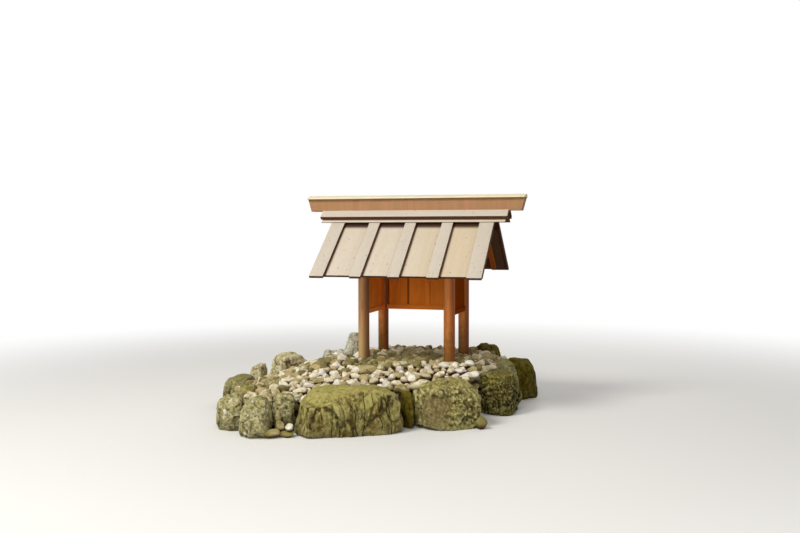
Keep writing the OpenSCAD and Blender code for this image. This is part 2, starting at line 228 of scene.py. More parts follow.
@dataclass(frozen=True)
class PlanedTimber:
    """Cypress planed smooth: clear wood whose rings show as soft lines along the grain.

    The lengths are in millimetres. The ridge shade is painted shade under the ridge boards:
    up to its first distance from the ridge, in plan, the wood is dark, and it ends at the
    second. The shadow and joint band lies beside each batten or joint: where it first starts
    along X, the distance to the next, and its width; beside a batten it is painted shadow,
    on the rear wall it darkens the joints, and its first band there is painted shade at the
    wall's left end. The low edge shade is the height of the board's lower edge, and how far
    painted shade darkens the wood above it. Amber is the colour that the boards keep at the
    right end, where the sun bleaches them less. The painted shade colour goes on the faces
    by how far they face along one axis.
    """

    name: str
    early: str
    late: str
    stain: str
    ring_mm: float = 14.0
    ring_strength: float = 0.5
    stain_strength: float = 0.4
    roughness: float = 0.72
    gloss: float = 0.05
    litter: float = 0.0
    foot_colour: str = ""
    runs: tuple[str, ...] = ()
    painted_shade: str = ""
    shade_from: Span = (0.45, 0.15)
    shade_axis: int = 2
    shade_strength: float = 0.95
    ridge_shade_mm: Span | None = None
    shadow_and_joint_mm: Point | None = None
    low_edge_shade_mm: Span | None = None
    amber: str = ""
    shadow_and_joint_colour: str = "#5A3814"

    def material(self) -> bpy.types.Material:
        """Builds the material: the wood itself, then what weather and grime leave on it, and painted
        shade.

        Returns:
            The finished material.
        """
        p = Pattern(self.name)
        colour, relief = self.wood(p)
        marks = (
            (self.amber, self.unbleached),
            (self.runs, self.run_marks),
            (self.litter, self.crumbs),
            (self.shadow_and_joint_mm, self.shadow_and_joint_wash),
            (self.ridge_shade_mm, self.ridge_shade),
            (self.foot_colour, self.foot),
            (self.low_edge_shade_mm, self.low_edge_shade),
            (self.painted_shade, self.shade),
        )
        for wanted, mark in marks:
            if wanted:
                colour = mark(p, colour)
        return p.finish(colour, self.roughness, relief, 0.5 * MM, self.gloss)

    def wood(self, p: Pattern) -> tuple[Socket, Socket]:
        """Draws the rings, the fibres and broad stains from the piece's grain attribute.

        The grain attribute is a place in the log: along it, across it and through it.
        Rings are cylinders round the log's heart, wavy along its length. Real rings are
        2 to 4 mm apart, and are drawn wider here so that they show.

        Args:
            p: The material's pattern.

        Returns:
            The colour and the relief.
        """
        log = p.add("Attribute", output="Vector", attribute_name="grain", attribute_type="GEOMETRY")
        waves = p.add("VectorMath", {0: log, 1: (0.9, 5.0, 5.0)}, operation="MULTIPLY")
        wander = p.add("TexNoise", {"Vector": waves, "Scale": 1.0, "Detail": 2.0})
        heart = {0: log, 1: (0.0, 1.0, 1.0), 2: (0.0, 0.0, 0.16)}
        section = p.add("VectorMath", heart, operation="MULTIPLY_ADD")
        radius = p.add("VectorMath", {0: section}, "Value", operation="LENGTH")
        bent = p.add("Math", {0: wander, 1: 0.11, 2: radius}, operation="MULTIPLY_ADD")
        turns = p.add("Math", {0: bent, 1: 1 / (self.ring_mm * MM)}, operation="MULTIPLY")
        phase = p.add("Math", {0: turns}, operation="FRACT")
        grown = p.add("MapRange", rise(phase, 0.2, 0.85), **SMOOTH)
        ended = p.add("MapRange", rise(phase, 1.0, 0.9), **SMOOTH)
        ring = p.add("Math", {0: grown, 1: ended}, operation="MULTIPLY")
        blotch = p.patches(log, 1.0, 0.38, 0.68, stretch=(1.4, 8.0, 8.0))
        fibre = p.patches(log, 1.0, 0.35, 0.75, 2.0, stretch=(7.0, 240.0, 240.0))
        clear = p.add("MapRange", rise(blotch, -0.4, 1.0, self.ring_strength), **SMOOTH)
        late = p.add("Math", {0: ring, 1: clear}, operation="MULTIPLY")
        colour = p.layer(late, 1.0, self.early, self.late)
        colour = p.layer(fibre, 0.22, colour, self.late)
        colour = p.layer(blotch, self.stain_strength, colour, self.stain)
        return colour, p.add("Math", {0: ring, 1: 0.5, 2: fibre}, operation="MULTIPLY_ADD")

    def unbleached(self, p: Pattern, colour: Socket) -> Socket:
        """Warms the colour step by step from 0.4 m left of the middle to the right end."""
        return p.fade(p.add("SeparateXYZ", {0: p.place}), (-0.4, 0.75), 0.45, colour, self.amber)

    def run_marks(self, p: Pattern, colour: Socket) -> Socket:
        """Lays upright marks of running water, about 60 mm wide, one layer a colour.

        Args:
            p: The material's pattern.
            colour: The wood's colour so far.

        Returns:
            The colour with the marks.
        """
        for k, mark in enumerate(self.runs):
            share = p.patches(p.place, 1.0, 0.44, 0.66, 3.0, (17.0, 17.0, 1.2), 3.0 * k)
            colour = p.layer(share, 0.45, colour, mark)
        return colour

    def crumbs(self, p: Pattern, colour: Socket) -> Socket:
        """Drops crumbs of litter of about 8 mm here and there, and specks of 4 mm.

        Args:
            p: The material's pattern.
            colour: The wood's colour so far.

        Returns:
            The colour with the crumbs.
        """
        gaps = p.add("TexVoronoi", {"Vector": p.place, "Scale": 22.0})
        crumb = p.add("MapRange", rise(gaps, 0.16, 0.08), **SMOOTH)
        here = p.patches(p.place, 0.11, 0.5, 0.56, 1.0)
        some = p.add("Math", {0: crumb, 1: here}, operation="MULTIPLY")
        colour = p.layer(some, self.litter, colour, "#5C5238")
        return p.layer(p.patches(p.place, 0.016, 0.48, 0.74, 2.0), 0.5, colour, self.late)

    def shadow_and_joint_wash(self, p: Pattern, colour: Socket) -> Socket:
        """Fades a dark band to clear beside each batten's edge, as painted shadow, and beside each
        joint.

        Args:
            p: The material's pattern.
            colour: The wood's colour so far.

        Returns:
            The colour with the dark bands.
        """
        start, pitch, width = (length * MM for length in self.shadow_and_joint_mm)
        from_edge = p.add("Math", {0: p.add("SeparateXYZ", {0: p.place}), 1: -start}, operation="ADD")
        past = p.add("Math", {0: from_edge, 1: pitch, 2: 0.0}, operation="WRAP")
        colour = p.fade(p.ragged(past, 0.04, 0.3 * width), (width, 0.0), 0.55, colour, self.stain)
        return p.fade(past, (0.026, 0.004), 0.9, colour, self.shadow_and_joint_colour)

    def ridge_shade(self, p: Pattern, colour: Socket) -> Socket:
        """Paints shade on the wood close to the ridge, under the ridge boards above it."""
        reach = p.add("Math", {0: p.add("SeparateXYZ", {0: p.place}, 1)}, operation="ABSOLUTE")
        return p.fade(reach, (self.ridge_shade_mm[1] * MM, self.ridge_shade_mm[0] * MM), 0.95, colour, self.painted_shade)

    def foot(self, p: Pattern, colour: Socket) -> Socket:
        """Bleaches or darkens the foot of a post, from 0.4 m above the bed down."""
        height = p.ragged(p.add("SeparateXYZ", {0: p.place}, 2), 0.05, -0.16)
        return p.fade(height, (0.80, 0.40), 0.85, colour, self.foot_colour)

    def low_edge_shade(self, p: Pattern, colour: Socket) -> Socket:
        """Paints shade on the lowest part of an edge, as a dark band along it."""
        (edge, wet), height = self.low_edge_shade_mm, p.add("SeparateXYZ", {0: p.place}, 2)
        return p.fade(height, ((edge + wet) * MM, (edge + 0.7 * wet) * MM), 0.85, colour, self.painted_shade)

    def shade(self, p: Pattern, colour: Socket) -> Socket:
        """Paints shade on the faces by how far they face along one axis."""
        facing = p.add("SeparateXYZ", {0: p.add("NewGeometry", output="Normal")}, self.shade_axis)
        return p.fade(facing, self.shade_from, self.shade_strength, colour, self.painted_shade)


@dataclass(frozen=True)
class WeatheredRock:
    """Boulder rock worn by rain: rough stone, moss above, painted shade and grime in hollows, painted
    highlights on crests.
    """

    name: str
    stone: str
    pale: str
    dark: str
    moss: str
    worn: str
    moss_strength: float = 0.8
    grain_mm: float = 15.0
    lichen_strength: float = 0.25
    relief_mm: float = 5.0
    streaks: tuple[str, ...] = ()
    cracks: float = 0.0
    mottle: float = 0.6
    highlight_and_wear: float = 0.6
    ground_shade: float = 0.45
    lichen: str = "#C8CAA8"
    bare: str = "#8E7A52"

    def material(self) -> bpy.types.Material:
        """Builds the material from the piece's moss, hollow, crest and bare attributes.

        Grain of 15 to 35 mm and dark mottles of 70 mm give the look of broken rock, and
        grit of 4 mm its rough touch. Streaks about 70 mm wide run down bedded rock, one
        layer a colour. Lichen lies in round spots of about 50 mm. Hollows are darker, as
        painted shade with some grime, and crests are paler, as painted highlight with some
        wear. The bare attribute marks a scooped patch. Up to about 0.2 m from the ground
        the stone is darker, as painted shade.

        Returns:
            The finished material.
        """
        p = Pattern(self.name)
        moss, hollow, crest, scooped = (
            p.add("Attribute", output="Fac", attribute_name=name, attribute_type="GEOMETRY")
            for name in ("moss", "hollow", "crest", "bare")
        )
        fine = {"Vector": p.place, "Scale": 1 / (self.grain_mm * MM), "Detail": 5.0, "Roughness": 0.68}
        grain = p.add("TexNoise", fine)
        grit = p.add("TexNoise", {"Vector": p.place, "Scale": 260.0, "Detail": 2.0})
        colour = p.layer(p.patches(p.place, 0.17, 0.35, 0.66), 1.0, self.stone, self.pale)
        for k, streak in enumerate(self.streaks):
            share = p.patches(p.place, 1.0, 0.47, 0.57, stretch=(15.0, 15.0, 1.1), shift=5.0 * k)
            colour = p.layer(share, 0.75, colour, streak)
        colour = p.layer(p.patches(p.place, 0.07, 0.5, 0.64, 3.0), self.mottle, colour, self.dark)
        colour = p.fade(grain, (0.53, 0.37), self.mottle, colour, self.dark)
        tufts = p.layer(p.patches(p.place, 0.028, 0.4, 0.68), 0.7, self.moss, self.pale)
        grown = p.add("Math", {0: grain, 1: 0.9, 2: moss}, operation="MULTIPLY_ADD")
        colour = p.fade(grown, (0.78, 1.2), self.moss_strength, colour, tufts)
        spots = p.add("TexVoronoi", {"Vector": p.place, "Scale": 20.0})
        spot = p.add("MapRange", rise(spots, 0.36, 0.24), **SMOOTH)
        lichen = p.add("Math", {0: spot, 1: p.patches(p.place, 0.12, 0.5, 0.6)}, operation="MULTIPLY")
        colour = p.layer(lichen, self.lichen_strength, colour, self.lichen)
        # Crests and grain highs are paler: painted highlight on the crests, with some wear.
        high = p.add("MapRange", rise(grain, 0.52, 0.66), **SMOOTH)
        highlight_and_wear_share = p.add("Math", {0: crest, 1: 0.5, 2: high}, operation="MULTIPLY_ADD", use_clamp=True)
        colour = p.layer(highlight_and_wear_share, self.highlight_and_wear, colour, self.worn)
        colour = p.layer(scooped, 0.6, colour, self.bare)
        # The hollows are darker: painted shade, with some grime.
        colour = p.layer(hollow, 0.85, colour, self.dark)
        if self.cracks:
            colour = p.layer(self.cracked(p), self.cracks, colour, self.dark)
        # Darker towards the ground: painted shade.
        height = p.ragged(p.add("SeparateXYZ", {0: p.place}, 2), 0.08, 0.12)
        colour = p.fade(height, (0.3, 0.02), self.ground_shade, colour, self.dark)
        relief = p.add("Math", {0: grit, 1: 0.3, 2: grain}, operation="MULTIPLY_ADD")
        return p.finish(colour, 0.93, relief, self.relief_mm * MM, 0.1)

    @staticmethod
    def cracked(p: Pattern) -> Socket:
        """Draws upright cracks about 120 mm apart and 8 mm wide, which wander and come and go.

        They are the seams of a cell pattern that is stretched upright, on steep faces only.

        Args:
            p: The material's pattern.

        Returns:
            The cracks, a share from 0 to 1.
        """
        wander = p.add("TexNoise", {"Vector": p.place, "Scale": 6.0, "Detail": 3.0}, "Color")
        bend = {0: wander, 1: (0.09, 0.09, 0.09), 2: p.place}
        bent = p.add("VectorMath", bend, operation="MULTIPLY_ADD")
        upright = p.add("VectorMath", {0: bent, 1: (8.0, 8.0, 1.1)}, operation="MULTIPLY")
        seam = p.add("TexVoronoi", {"Vector": upright, "Scale": 1.0}, feature="DISTANCE_TO_EDGE")
        line = p.add("MapRange", rise(seam, 0.06, 0.015), **SMOOTH)
        up = p.add("SeparateXYZ", {0: p.add("NewGeometry", output="Normal")}, 2)
        steep = p.add("MapRange", rise(up, 0.75, 0.4), **SMOOTH)
        some = p.add("Math", {0: line, 1: p.patches(p.place, 0.14, 0.4, 0.5)}, operation="MULTIPLY")
        return p.add("Math", {0: some, 1: steep}, operation="MULTIPLY")


@dataclass(frozen=True)
class WornCobble:
    """Beach cobble of pale sandstone and limestone, tumbled round and paled by the sun."""

    name: str
    white: str = "#FCF3E2"
    chalk: str = "#F2E4C2"
    sand: str = "#C2AE7E"
    grey: str = "#7A7044"
    moss: str = "#7C7634"
    seam: str = "#3C2612"

    def material(self) -> bpy.types.Material:
        """Builds the material from each stone's own tint, a number from 0 to 1.

        Blotches of about 35 mm and pores of 5 mm are what shows on a worn cobble.

        Returns:
            The finished material.
        """
        p = Pattern(self.name)
        tint, moss, hollow = (
            p.add("Attribute", output="Fac", attribute_name=name, attribute_type="GEOMETRY")
            for name in ("tint", "moss", "hollow")
        )
        blotch = p.patches(p.place, 0.035, 0.42, 0.72)
        pores = p.add("TexNoise", {"Vector": p.place, "Scale": 180.0, "Detail": 3.0})
        colour = self.white
        steps = (
            (self.chalk, (0.22, 0.32), 1.0),
            (self.sand, (0.48, 0.66), 1.0),
            (self.grey, (0.82, 0.94), 0.9),
        )
        for tone, span, strength in steps:
            colour = p.fade(tint, span, strength, colour, tone)
        colour = p.layer(blotch, 0.4, colour, self.grey)
        green = p.add("Math", {0: moss, 1: p.patches(p.place, 0.05, 0.35, 0.6)}, operation="MULTIPLY")
        colour = p.layer(green, 1.0, colour, self.moss)
        # Each stone's lower part is darker: painted shade between the stones, with some soil.
        colour = p.layer(hollow, 0.95, colour, self.seam)
        relief = p.add("Math", {0: pores, 1: 0.4, 2: blotch}, operation="MULTIPLY_ADD")
        return p.finish(colour, 0.88, relief, 1.8 * MM, 0.25)


@dataclass(frozen=True)
class DampSoil:
    """Sandy soil with grit, which shows as dark seams between the cobbles."""

    name: str = "damp_sandy_soil"

    def material(self) -> bpy.types.Material:
        """Builds the material from lumps of 30 mm and grit of 8 mm.

        Returns:
            The finished material.
        """
        p = Pattern(self.name)
        lump = p.patches(p.place, 0.03, 0.35, 0.65)
        grit = p.add("TexVoronoi", {"Vector": p.place, "Scale": 125.0})
        colour = p.layer(lump, 1.0, "#3A2012", "#6A3E26")
        colour = p.fade(grit, (0.25, 0.1), 0.5, colour, "#9A7650")
        relief = p.add("Math", {0: grit, 1: -0.4, 2: lump}, operation="MULTIPLY_ADD")
        return p.finish(colour, 0.95, relief, 6 * MM, 0.15)


class Wood(Enum):
    """The timber finishes of the shelter."""

    # Painted shade on faces that don't face up and under the ridge boards, and painted shadow beside
    # each batten.
    ROOF = PlanedTimber(
        "planed_cypress_sun_bleached", "#D8CCBC", "#C6B69E", "#D0BEA4",
        ring_mm=24.0, ring_strength=0.18, litter=0.9,
        painted_shade="#381602", ridge_shade_mm=(138.0, 176.0), shadow_and_joint_mm=(51.0, 341.0, 55.0), amber="#D2B888",
    )
    # Painted shade on faces that don't face up: the sides and ends of the battens and of the high ridge
    # board.
    BATTEN = PlanedTimber(
        "planed_cypress_batten", "#D0C5B6", "#BEB09C", "#C8BAA6",
        ring_mm=24.0, ring_strength=0.16, stain_strength=0.3, litter=0.6, painted_shade="#4A260C",
    )
    # Painted shade on faces that don't face up, and under the high ridge board.
    STRIP = PlanedTimber(
        "planed_cypress_lower_ridge_board", "#D4C9BA", "#C2B4A0", "#CABCA8",
        ring_mm=24.0, ring_strength=0.16, stain_strength=0.3,
        painted_shade="#664420", ridge_shade_mm=(119.0, 126.0),
    )
    # Painted shade on the faces that face down, and along the lowest part of its edge.
    CAP = PlanedTimber(
        "planed_cypress_fresh_cap", "#ECE2C4", "#D6C69C", "#DECFA8",
        ring_mm=12.0, ring_strength=0.25, stain_strength=0.25, roughness=0.65,
        painted_shade="#6A4A22", shade_from=(-0.3, -0.6), low_edge_shade_mm=(1876.0, 9.0),
    )
    # Painted shade on the faces that face down.
    BEAM = PlanedTimber(
        "planed_cypress_ridge_beam", "#A87E5A", "#8C6448", "#9C7652",
        ring_mm=11.0, ring_strength=0.2, stain_strength=0.3, roughness=0.65,
        runs=("#BE8268", "#A3875A"), painted_shade="#3A2410", shade_from=(-0.3, -0.6),
    )
    # The sunlit copy of the post wood, for the front left post; painted shade on the faces towards +X.
    POST = PlanedTimber(
        "turned_cypress_post", "#D6A272", "#A26C3E", "#BC8450",
        ring_mm=12.0, roughness=0.55, gloss=0.2, foot_colour="#B8A06A",
        painted_shade="#5A2A06", shade_from=(-0.4, 0.8), shade_axis=0, shade_strength=0.75,
    )
    # A darker, more orange copy of the post wood, in painted shade, for the other three posts; more
    # painted shade on the faces towards +X.
    POST_IN_SHADE = PlanedTimber(
        "turned_cypress_post_painted_shade", "#D2803E", "#965016", "#B0641E",
        ring_mm=12.0, roughness=0.5, gloss=0.2, foot_colour="#6A4C18",
        painted_shade="#7A3404", shade_from=(0.0, 0.8), shade_axis=0, shade_strength=0.7,
    )
    WALL = PlanedTimber(
        "planed_cypress_wall", "#F88E30", "#CA6814", "#E0781E",
        ring_strength=0.45, stain_strength=0.5, roughness=0.55,
    )
    # A darker copy of the wall wood, in painted shade, for the right wall and its foot rail.
    WALL_IN_SHADE = PlanedTimber(
        "planed_cypress_wall_painted_shade", "#8C3C04", "#5C2400", "#743002",
        ring_strength=0.45, stain_strength=0.5, roughness=0.9, gloss=0.0,
    )
    # Dark joints, and painted shade at the wall's left end.
    WALL_REAR = replace(
        WALL, name="planed_cypress_rear_wall", shadow_and_joint_mm=(-346.0, 197.0, 30.0), shadow_and_joint_colour="#3C1604"
    )
    FRAME = PlanedTimber(
        "planed_cypress_frame", "#9C5416", "#703606", "#80400C",
        ring_mm=13.0, roughness=0.6,
    )


class Rock(Enum):
    """The boulder finishes of the bed."""

    BEDDED = WeatheredRock(
        "bedded_greenschist", "#786C36", "#9E9254", "#221C08", "#B0A55C", "#C0B880",
        grain_mm=30.0, lichen_strength=0.15, streaks=("#74562A", "#3A2C0E", "#A69C5E"),
        cracks=0.85, mottle=0.35, highlight_and_wear=0.5,
    )
    ROUGH = WeatheredRock(
        "rough_greenschist", "#867A42", "#B4A866", "#1C1604", "#988C48", "#E2DAA0",
        moss_strength=0.65, grain_mm=24.0, relief_mm=9.0, mottle=0.7, highlight_and_wear=0.75, bare="#7E6A48",
    )
    DARK = WeatheredRock(
        "craggy_dark_schist", "#463C16", "#726830", "#0A0802", "#786C2E", "#B4AA6C",
        grain_mm=20.0, lichen_strength=0.15, relief_mm=8.0, mottle=0.7, highlight_and_wear=0.75,
    )
    SMOOTH = WeatheredRock(
        "smooth_mossed_rock", "#564A0C", "#6C5E1A", "#201A04", "#625810", "#82742E",
        grain_mm=34.0, lichen_strength=0.1, relief_mm=3.0,
    )
    GREY = WeatheredRock(
        "grey_schist", "#827A4C", "#A49C6C", "#2A2410", "#8A8444", "#BEB88A",
        moss_strength=0.6, grain_mm=17.0, lichen_strength=0.4,
    )
    LICHENED = WeatheredRock(
        "lichened_grey_schist", "#9C9262", "#BCB27E", "#2E2812", "#9A9248", "#E6E0BE",
        moss_strength=0.5, grain_mm=18.0, lichen_strength=0.85, relief_mm=6.0, lichen="#E4E2D6",
    )
    # Strong painted shade near the ground.
    SHADED = WeatheredRock(
        "mossed_grey_schist", "#9A9060", "#C2B884", "#1E1A08", "#8C863E", "#E0DAB0",
        moss_strength=0.6, grain_mm=22.0, lichen_strength=0.3, relief_mm=6.0, mottle=0.75, ground_shade=0.85,
    )
    PALE = WeatheredRock(
        "pitted_pale_limestone", "#CCBE8A", "#E6DAAE", "#4E4426", "#A89E5C", "#F4EED0",
        moss_strength=0.5, lichen_strength=0.6, relief_mm=6.0,
    )
    WHITE = WeatheredRock(
        "bleached_limestone", "#BCB8A0", "#DEDAC8", "#6A6450", "#A0A070", "#F0ECDE",
        moss_strength=0.3, lichen_strength=0.8, relief_mm=6.0, lichen="#EEECE4",
    )


# Surfaces made of arrays


@dataclass
class Surface:
    """A mesh as arrays: vertices, four-sided faces, other faces and vertex attributes."""

    vertices: Array
    quads: Array
    others: list[list[int]] = field(default_factory=list)
    attributes: dict[str, Array] = field(default_factory=dict)

    @staticmethod
    def join(parts: Iterable[Surface]) -> Surface:
        """Joins surfaces that carry the same attributes into one.

        Args:
            parts: The surfaces to join.

        Returns:
            One surface with all their faces.
        """
        items = list(parts)
        starts = np.cumsum([0] + [len(p.vertices) for p in items])
        quads = np.concatenate([p.quads + s for p, s in zip(items, starts)])
        others = [[i + int(s) for i in f] for p, s in zip(items, starts) for f in p.others]
        names = items[0].attributes
        joined = {n: np.concatenate([p.attributes[n] for p in items]) for n in names}
        return Surface(np.concatenate([p.vertices for p in items]), quads, others, joined)

    def make_object(self, name: str, smooth: bool) -> bpy.types.Object:
        """Puts the arrays into a new object at the origin.

        Args:
            name: The piece's name.
            smooth: Shades the faces smoothly.

        Returns:
            The new object.
        """
        counts = np.array([4] * len(self.quads) + [len(f) for f in self.others], np.int32)
        rest = [i for f in self.others for i in f]
        corners = np.concatenate([self.quads.ravel(), np.array(rest, int)]).astype(np.int32)
        mesh = bpy.data.meshes.new(name)
        mesh.vertices.add(len(self.vertices))
        mesh.vertices.foreach_set("co", self.vertices.astype(np.float32).ravel())
        mesh.loops.add(len(corners))
        mesh.loops.foreach_set("vertex_index", corners)
        mesh.polygons.add(len(counts))
        starts = np.concatenate([[0], np.cumsum(counts)[:-1]]).astype(np.int32)
        mesh.polygons.foreach_set("loop_start", starts)
        mesh.polygons.foreach_set("use_smooth", np.full(len(counts), smooth))
        mesh.update(calc_edges=True)
        mesh.validate()
        for key, values in self.attributes.items():
            is_vector = values.ndim == 2
            kind = "FLOAT_VECTOR" if is_vector else "FLOAT"
            layer = mesh.attributes.new(key, kind, "POINT")
            layer.data.foreach_set("vector" if is_vector else "value", values.astype(np.float32).ravel())
        piece = bpy.data.objects.new(name, mesh)
        bpy.context.scene.collection.objects.link(piece)
        return piece


def ring_quads(rings: int, steps: int) -> Array:
    """Lists the faces between rings of vertices, each ring closed on itself.

    Args:
        rings: Number of rings.
        steps: Number of vertices in each ring.

    Returns:
        One row of four vertex numbers a face.
    """
    i, j = np.meshgrid(np.arange(rings - 1), np.arange(steps), indexing="ij")
    k = (j + 1) % steps
    corners = [i * steps + j, i * steps + k, (i + 1) * steps + k, (i + 1) * steps + j]
    return np.stack(corners, -1).reshape(-1, 4)


def sphere_grid(rings: int, steps: int) -> tuple[Array, Array, list[list[int]]]:
    """Gives unit directions over a ball, as rings between two single pole points.

    Args:
        rings: Number of rings between the poles.
        steps: Number of directions in each ring.

    Returns:
        The directions, the four-sided faces and the triangles round both poles.
    """
    up = np.linspace(-np.pi / 2, np.pi / 2, rings + 2)[1:-1]
    turn = np.linspace(0, 2 * np.pi, steps, endpoint=False)
    lat, lon = np.meshgrid(up, turn, indexing="ij")
    grid = np.stack([np.cos(lat) * np.cos(lon), np.cos(lat) * np.sin(lon), np.sin(lat)], -1)
    directions = np.concatenate([grid.reshape(-1, 3), [[0, 0, -1], [0, 0, 1]]])
    low, high, last = rings * steps, rings * steps + 1, (rings - 1) * steps
    caps = [[low, (j + 1) % steps, j] for j in range(steps)]
    caps += [[high, last + j, last + (j + 1) % steps] for j in range(steps)]
    return directions, ring_quads(rings, steps), caps


# Noise worked out on whole arrays


def cell_rows(cells: Array) -> Array:
    """Gives each lattice cell its row in a table: its numbers times large primes, mixed bit by bit."""
    mixed = np.bitwise_xor.reduce(cells * [73856093, 19349663, 83492791], axis=1)
    return mixed & (TABLE_ROWS - 1)


def nearby_cells(points: Array) -> Iterator[tuple[Array, Array]]:
    """Goes through the 27 cells in and round each point's own, one for all points at a time.

    Args:
        points: Places, in cell widths.

    Yields:
        The cells, and their rows in a table.
    """
    base = np.floor(points).astype(np.int64)
    for step in np.ndindex(3, 3, 3):
        cell = base + np.array(step) - 1
        yield cell, cell_rows(cell)


def lattice_noise(points: Array, seed: int) -> Array:
    """Gives smooth noise from -1 to 1 at each point.

    Each corner of the unit lattice has a random value, and the value at a point is
    blended from the eight corners round it with a smooth weight.

    Args:
        points: Places, one row of three numbers each.
        seed: Chooses the lattice's values.

    Returns:
        One number a point.
    """
    table = np.random.default_rng(seed).uniform(-1, 1, TABLE_ROWS)
    base = np.floor(points).astype(np.int64)
    part = points - base
    weight = part * part * (3 - 2 * part)
    total = np.zeros(len(points))
    for corner in np.ndindex(2, 2, 2):
        share = np.prod(np.where(np.array(corner) == 1, weight, 1 - weight), axis=1)
        total += share * table[cell_rows(base + np.array(corner))]
    return total


def layered_noise(points: Array, seed: int, layers: int = 4, gain: float = 0.5) -> Array:
    """Sums noise at sizes that halve from layer to layer.

    Args:
        points: Places, in widths of the largest patch.
        seed: Chooses the noise.
        layers: Number of layers.
        gain: Strength of each layer as a share of the one before.

    Returns:
        One number a point, about -1 to 1.
    """
    parts = [lattice_noise(points * 2.0**k + 17.3 * k, seed + k) * gain**k for k in range(layers)]
    return np.sum(parts, axis=0)


def pit_noise(points: Array, seed: int) -> Array:
    """Gives the distance from each point to the nearest scattered pit, in cell widths.

    Args:
        points: Places, in cell widths.
        seed: Chooses where the pits lie.

    Returns:
        One number a point.
    """
    table = np.random.default_rng(seed).uniform(0, 1, (TABLE_ROWS, 3))
    nearest = np.full(len(points), np.inf)
    for cell, row in nearby_cells(points):
        nearest = np.minimum(nearest, np.linalg.norm(cell + table[row] - points, axis=1))
    return nearest


def facet_noise(points: Array, seed: int) -> Array:
    """Gives flat facets, each round its own scattered point and tilted its own way.

    A facet's height is a random offset plus its tilt times the way from its point. Near
    the border of two facets both are blended, by weights that fall off steeply with the
    square of the distance.

    Args:
        points: Places, in cell widths.
        seed: Chooses the facets.

    Returns:
        One number a point, about -1 to 1.
    """
    rng = np.random.default_rng(seed)
    table = rng.uniform(0, 1, (TABLE_ROWS, 3))
    tilts, offsets = rng.uniform(-1.2, 1.2, (TABLE_ROWS, 3)), rng.uniform(-0.7, 0.7, TABLE_ROWS)
    total, weights = np.zeros(len(points)), np.full(len(points), 1e-12)
    for cell, row in nearby_cells(points):
        away = points - cell - table[row]
        weight = np.exp(-22.0 * np.sum(away * away, axis=1))
        total += weight * (offsets[row] + np.sum(tilts[row] * away, axis=1))
        weights += weight
    return total / weights


def unit(vectors: Array) -> Array:
    """Scales each vector to a length of 1."""
    return vectors / np.linalg.norm(vectors, axis=-1, keepdims=True)


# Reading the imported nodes


def node_box(node: str) -> tuple[Array, Array]:
    """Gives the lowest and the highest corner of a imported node."""
    low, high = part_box(node)
    return np.array(low), np.array(high)


def node_vertices(node: str) -> Array:
    """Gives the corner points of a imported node.

    Args:
        node: The node's name.

    Returns:
        One row of three numbers a point.
    """
    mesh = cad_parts[node].data
    flat = np.zeros(len(mesh.vertices) * 3, np.float32)
    mesh.vertices.foreach_get("co", flat)
    return flat.reshape(-1, 3).astype(float)


def node_faces(node: str) -> tuple[Array, Array, Array]:
    """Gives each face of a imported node.

    Args:
        node: The node's name.

    Returns:
        The faces' outward normals, centres and areas.
    """
    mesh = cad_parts[node].data
    count = len(mesh.polygons)
    normal, centre, area = np.zeros(count * 3), np.zeros(count * 3), np.zeros(count)
    mesh.polygons.foreach_get("normal", normal)
    mesh.polygons.foreach_get("center", centre)
    mesh.polygons.foreach_get("area", area)
    return normal.reshape(-1, 3), centre.reshape(-1, 3), area


def spans(node: str, axis: int) -> Array:
    """Finds the separate stretches that a node's solids take along one axis.

    Args:
        node: The name of a node whose solids lie side by side.
        axis: 0 for X, 1 for Y and 2 for Z.

    Returns:
        The low and high end of each solid, one row each.
    """
    return np.unique(np.round(node_vertices(node)[:, axis], 5)).reshape(-1, 2)


@dataclass(frozen=True)
class ConvexSolid:
    """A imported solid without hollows, as the planes of its faces."""

    normals: Array
    offsets: Array
    centre: Array

    @staticmethod
    def of(node: str) -> ConvexSolid:
        """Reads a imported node's planes and the middle of its box.

        Planes of tiny faces, and those of notches that other corners lie beyond, are left out.

        Args:
            node: The node's name.

        Returns:
            The solid.
        """
        normals, centres, areas = node_faces(node)
        offsets = np.sum(normals * centres, axis=1)
        outer = np.max(node_vertices(node) @ normals.T, axis=0) < offsets + 0.001
        keep = (areas > 1e-7) & outer
        return ConvexSolid(normals[keep], offsets[keep], sum(node_box(node)) / 2)

    def reach(self, directions: Array) -> Array:
        """Gives how far the solid reaches from its centre in each direction.

        A ray from the centre leaves the solid at the nearest plane ahead of it.

        Args:
            directions: Unit directions, one row each.

        Returns:
            One distance a direction, in metres.
        """
        return 1 / self.ahead(directions).max(1)

    def ahead(self, directions: Array) -> Array:
        """Gives one over the distance to every plane ahead, a row a direction."""
        gaps = self.offsets - self.normals @ self.centre
        return np.maximum(directions @ self.normals.T, 0.0) / np.maximum(gaps, 1e-4)

    def upward(self, directions: Array) -> Array:
        """Gives the upward part of the face's normal that each direction meets."""
        return self.normals[np.argmax(self.ahead(directions), axis=1), 2]

    def shrunk(self, distance: float) -> ConvexSolid:
        """Gives the solid with all its planes but the one on the ground moved in."""
        moved = self.offsets - distance * (self.normals[:, 2] > -0.9)
        return ConvexSolid(self.normals, moved, self.centre)

    def depth(self, points: Array) -> Array:
        """Gives how deep each point lies inside the solid, negative outside."""
        return np.min(self.offsets - points @ self.normals.T, axis=1)

    def top(self, points: Array) -> Array:
        """Gives the height of the solid's upper side over each point in plan.

        Args:
            points: Places, one row each, of which X and Y are read.

        Returns:
            One height a point.
        """
        upward = self.normals[:, 2] > 0.05
        n, d = self.normals[upward], self.offsets[upward]
        return np.min((d - points[:, :2] @ n[:, :2].T) / n[:, 2], axis=1)


# Timber


